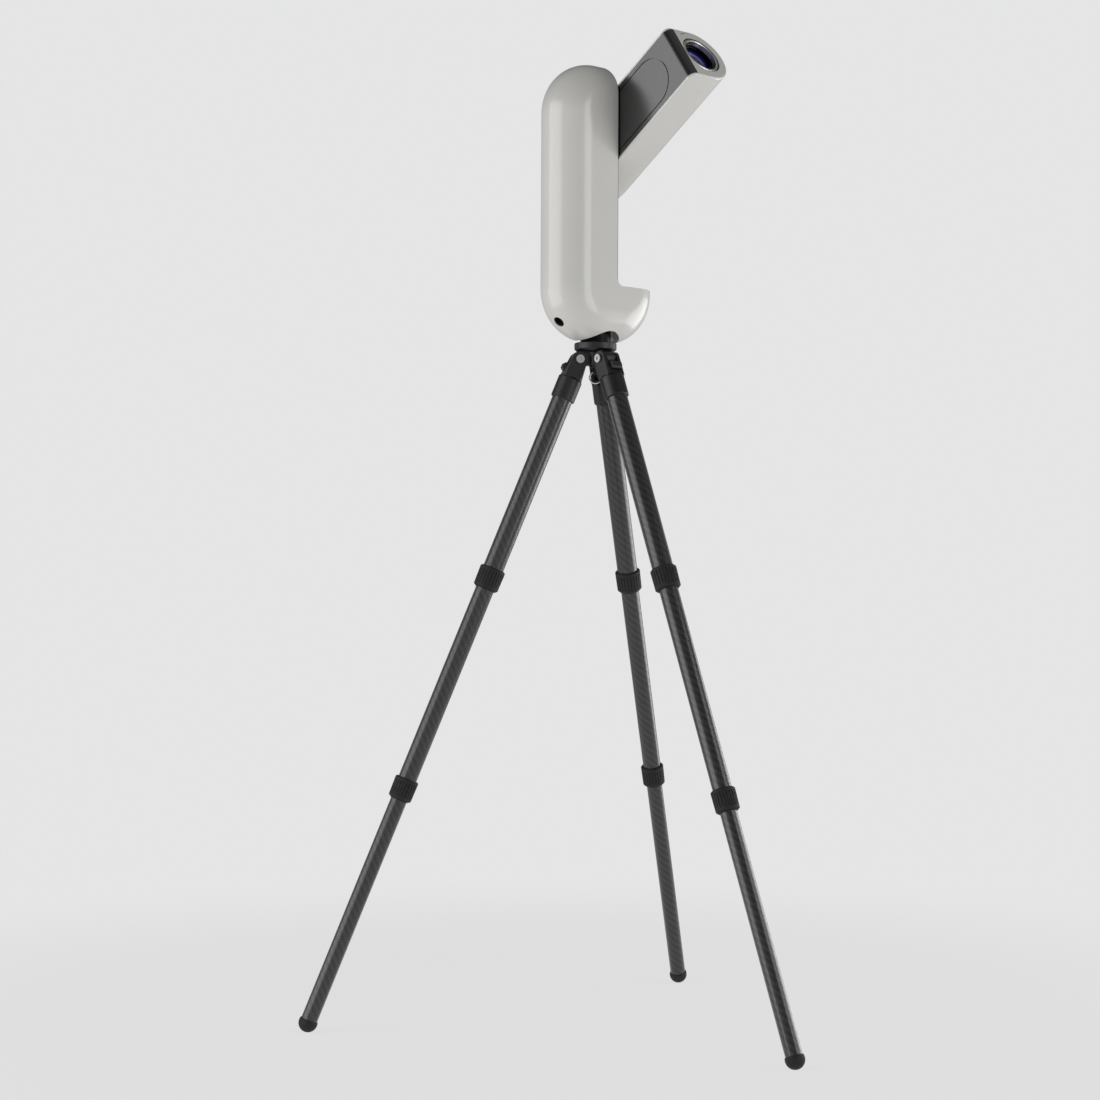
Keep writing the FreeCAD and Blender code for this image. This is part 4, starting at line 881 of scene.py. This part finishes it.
def backdrop_world(studio, bearing):
    """Backdrop paper that the camera sees at its own tone, and softer light from all round.

    The light is brightest from the paper, darker from the room on the camera's side and darkest above.
    """
    world = bpy.data.worlds.new("backdrop_paper")
    world.use_nodes = True
    tree = world.node_tree
    tree.nodes.clear()
    seen = add(tree, "Background", {"Color": opaque(studio.backdrop), "Strength": 1.0})
    way = add(tree, "TexCoord", output="Generated")
    to_camera = (math.cos(bearing), math.sin(bearing), 0)
    turned = add(tree, "VectorMath", {0: way, 1: to_camera}, output="Value", operation="DOT_PRODUCT")
    raised = add(tree, "VectorMath", {0: way, 1: (0, 0, 1)}, output="Value", operation="DOT_PRODUCT")
    round_about = add(tree, "MapRange", {"Value": turned, "From Min": -0.2, "From Max": 0.5,
                                         "To Min": studio.behind, "To Max": studio.facing},
                      interpolation_type="SMOOTHSTEP")
    share_above = add(tree, "MapRange", {"Value": raised, "From Min": 0.1, "From Max": 0.55},
                      interpolation_type="SMOOTHSTEP")
    glow = add(tree, "Mix", {"Factor": share_above, "A": round_about, "B": studio.ceiling})
    light = add(tree, "Background", {"Color": (1, 1, 1, 1), "Strength": glow})
    camera_ray = add(tree, "LightPath", output="Is Camera Ray")
    both = add(tree, "MixShader", {0: camera_ray, 1: light, 2: seen})
    add(tree, "OutputWorld", {"Surface": both})
    bpy.context.scene.world = world


def floor_sheet(studio):
    """Opal acrylic sheet lit from below: pale, with faint shade, fading into the backdrop."""
    material, tree = new_tree("opal_acrylic_lit_from_below")
    where = add(tree, "TexCoord", output="Object")
    away = add(tree, "VectorMath", {0: where}, output="Value", operation="LENGTH")
    kept = add(tree, "MapRange", {"Value": away, "From Min": studio.floor_near,
                                  "From Max": studio.floor_far, "To Min": 1.0, "To Max": 0.0},
               interpolation_type="SMOOTHSTEP")
    glow = add(tree, "Emission", {"Color": opaque(studio.backdrop), "Strength": 1 - studio.floor_shade})
    shade = add(tree, "BsdfDiffuse", {"Color": shaded(studio.backdrop, studio.floor_shade)})
    lit = add(tree, "AddShader", {0: glow, 1: shade})
    clear = add(tree, "BsdfTransparent")
    both = add(tree, "MixShader", {0: kept, 1: clear, 2: lit})
    add(tree, "OutputMaterial", {"Surface": both})
    shape = bmesh.new()
    bmesh.ops.create_circle(shape, cap_ends=True, radius=studio.floor_far * 1.1, segments=96)
    mesh = bpy.data.meshes.new("studio_floor")
    shape.to_mesh(mesh)
    shape.free()
    mesh.materials.append(material)
    item = bpy.data.objects.new("studio_floor", mesh)
    bpy.context.scene.collection.objects.link(item)


def photo_camera(settings):
    """Camera where the photograph was taken from."""
    data = bpy.data.cameras.new("photo_camera")
    data.lens = settings.lens
    data.sensor_width = 36
    item = bpy.data.objects.new("photo_camera", data)
    away = Vector((math.cos(settings.bearing), math.sin(settings.bearing), 0)) * settings.distance
    item.location = (tripod_axis.x + away.x, tripod_axis.y + away.y, settings.height)
    heading = settings.bearing + math.pi + settings.turn
    forward = Vector((math.cos(heading) * math.cos(settings.pitch),
                      math.sin(heading) * math.cos(settings.pitch), math.sin(settings.pitch)))
    level_right = Vector((math.sin(heading), -math.cos(heading), 0))
    level_up = level_right.cross(forward)
    right = level_right * math.cos(settings.roll) + level_up * math.sin(settings.roll)
    up = level_up * math.cos(settings.roll) - level_right * math.sin(settings.roll)
    item.rotation_mode = "QUATERNION"
    item.rotation_quaternion = Matrix((right, up, -forward)).transposed().to_quaternion()
    bpy.context.scene.collection.objects.link(item)
    bpy.context.scene.camera = item


class TELESCOPE_OT_studio(Operator):
    """Set up floor, backdrop, lamps and camera"""

    bl_idname = "telescope.studio"
    bl_label = "Set up the studio"

    def execute(self, context):
        studio = context.scene.telescope_studio
        backdrop_world(studio, context.scene.telescope_camera.bearing)
        floor_sheet(studio)
        softbox("key_softbox", -112, 2.2, 1.1, 2.24, 2.6, studio.key)
        softbox("fill_softbox", 15, 2.4, 1.2, 1.2, 2.0, studio.fill)
        softbox("rim_softbox", 70, 2.2, 0.6, 1.8, 1.2, studio.rim)
        top = softbox("top_softbox", 0, 0, 2.6, 1.6, 1.6, studio.top)
        top.rotation_euler = (0, 0, 0)
        photo_camera(context.scene.telescope_camera)
        context.scene.view_settings.view_transform = "Standard"
        return {"FINISHED"}


class TELESCOPE_PT_looks(Panel):
    """Operators and settings in the order they are used"""

    bl_idname = "TELESCOPE_PT_looks"
    bl_label = "Telescope"
    bl_space_type = "VIEW_3D"
    bl_region_type = "UI"
    bl_category = "Telescope"

    def draw(self, context):
        for operator in OPERATORS:
            self.layout.operator(operator.bl_idname)
        for group in SETTINGS:
            settings = getattr(context.scene, group)
            for name in settings.__annotations__:
                self.layout.prop(settings, name)


OPERATORS = (
    TELESCOPE_OT_shells,
    TELESCOPE_OT_tubes,
    TELESCOPE_OT_castings,
    TELESCOPE_OT_metals,
    TELESCOPE_OT_inner_parts,
    TELESCOPE_OT_bolt_sockets,
    TELESCOPE_OT_lock_wipers,
    TELESCOPE_OT_catch_ribs,
    TELESCOPE_OT_button_light,
    TELESCOPE_OT_baffles,
    TELESCOPE_OT_end_seam,
    TELESCOPE_OT_studio,
)
SETTINGS = {
    "telescope_finish": FinishSettings,
    "telescope_trim": TrimSettings,
    "telescope_camera": CameraSettings,
    "telescope_studio": StudioSettings,
}


def register():
    for name, group in SETTINGS.items():
        bpy.utils.register_class(group)
        setattr(bpy.types.Scene, name, PointerProperty(type=group))
    for operator in OPERATORS:
        bpy.utils.register_class(operator)
    bpy.utils.register_class(TELESCOPE_PT_looks)


def unregister():
    bpy.utils.unregister_class(TELESCOPE_PT_looks)
    for operator in reversed(OPERATORS):
        bpy.utils.unregister_class(operator)
    for name, group in SETTINGS.items():
        delattr(bpy.types.Scene, name)
        bpy.utils.unregister_class(group)


def main():
    register()
    for operator in OPERATORS:
        area, name = operator.bl_idname.split(".")
        getattr(getattr(bpy.ops, area), name)()


if __name__ == "__main__":
    main()
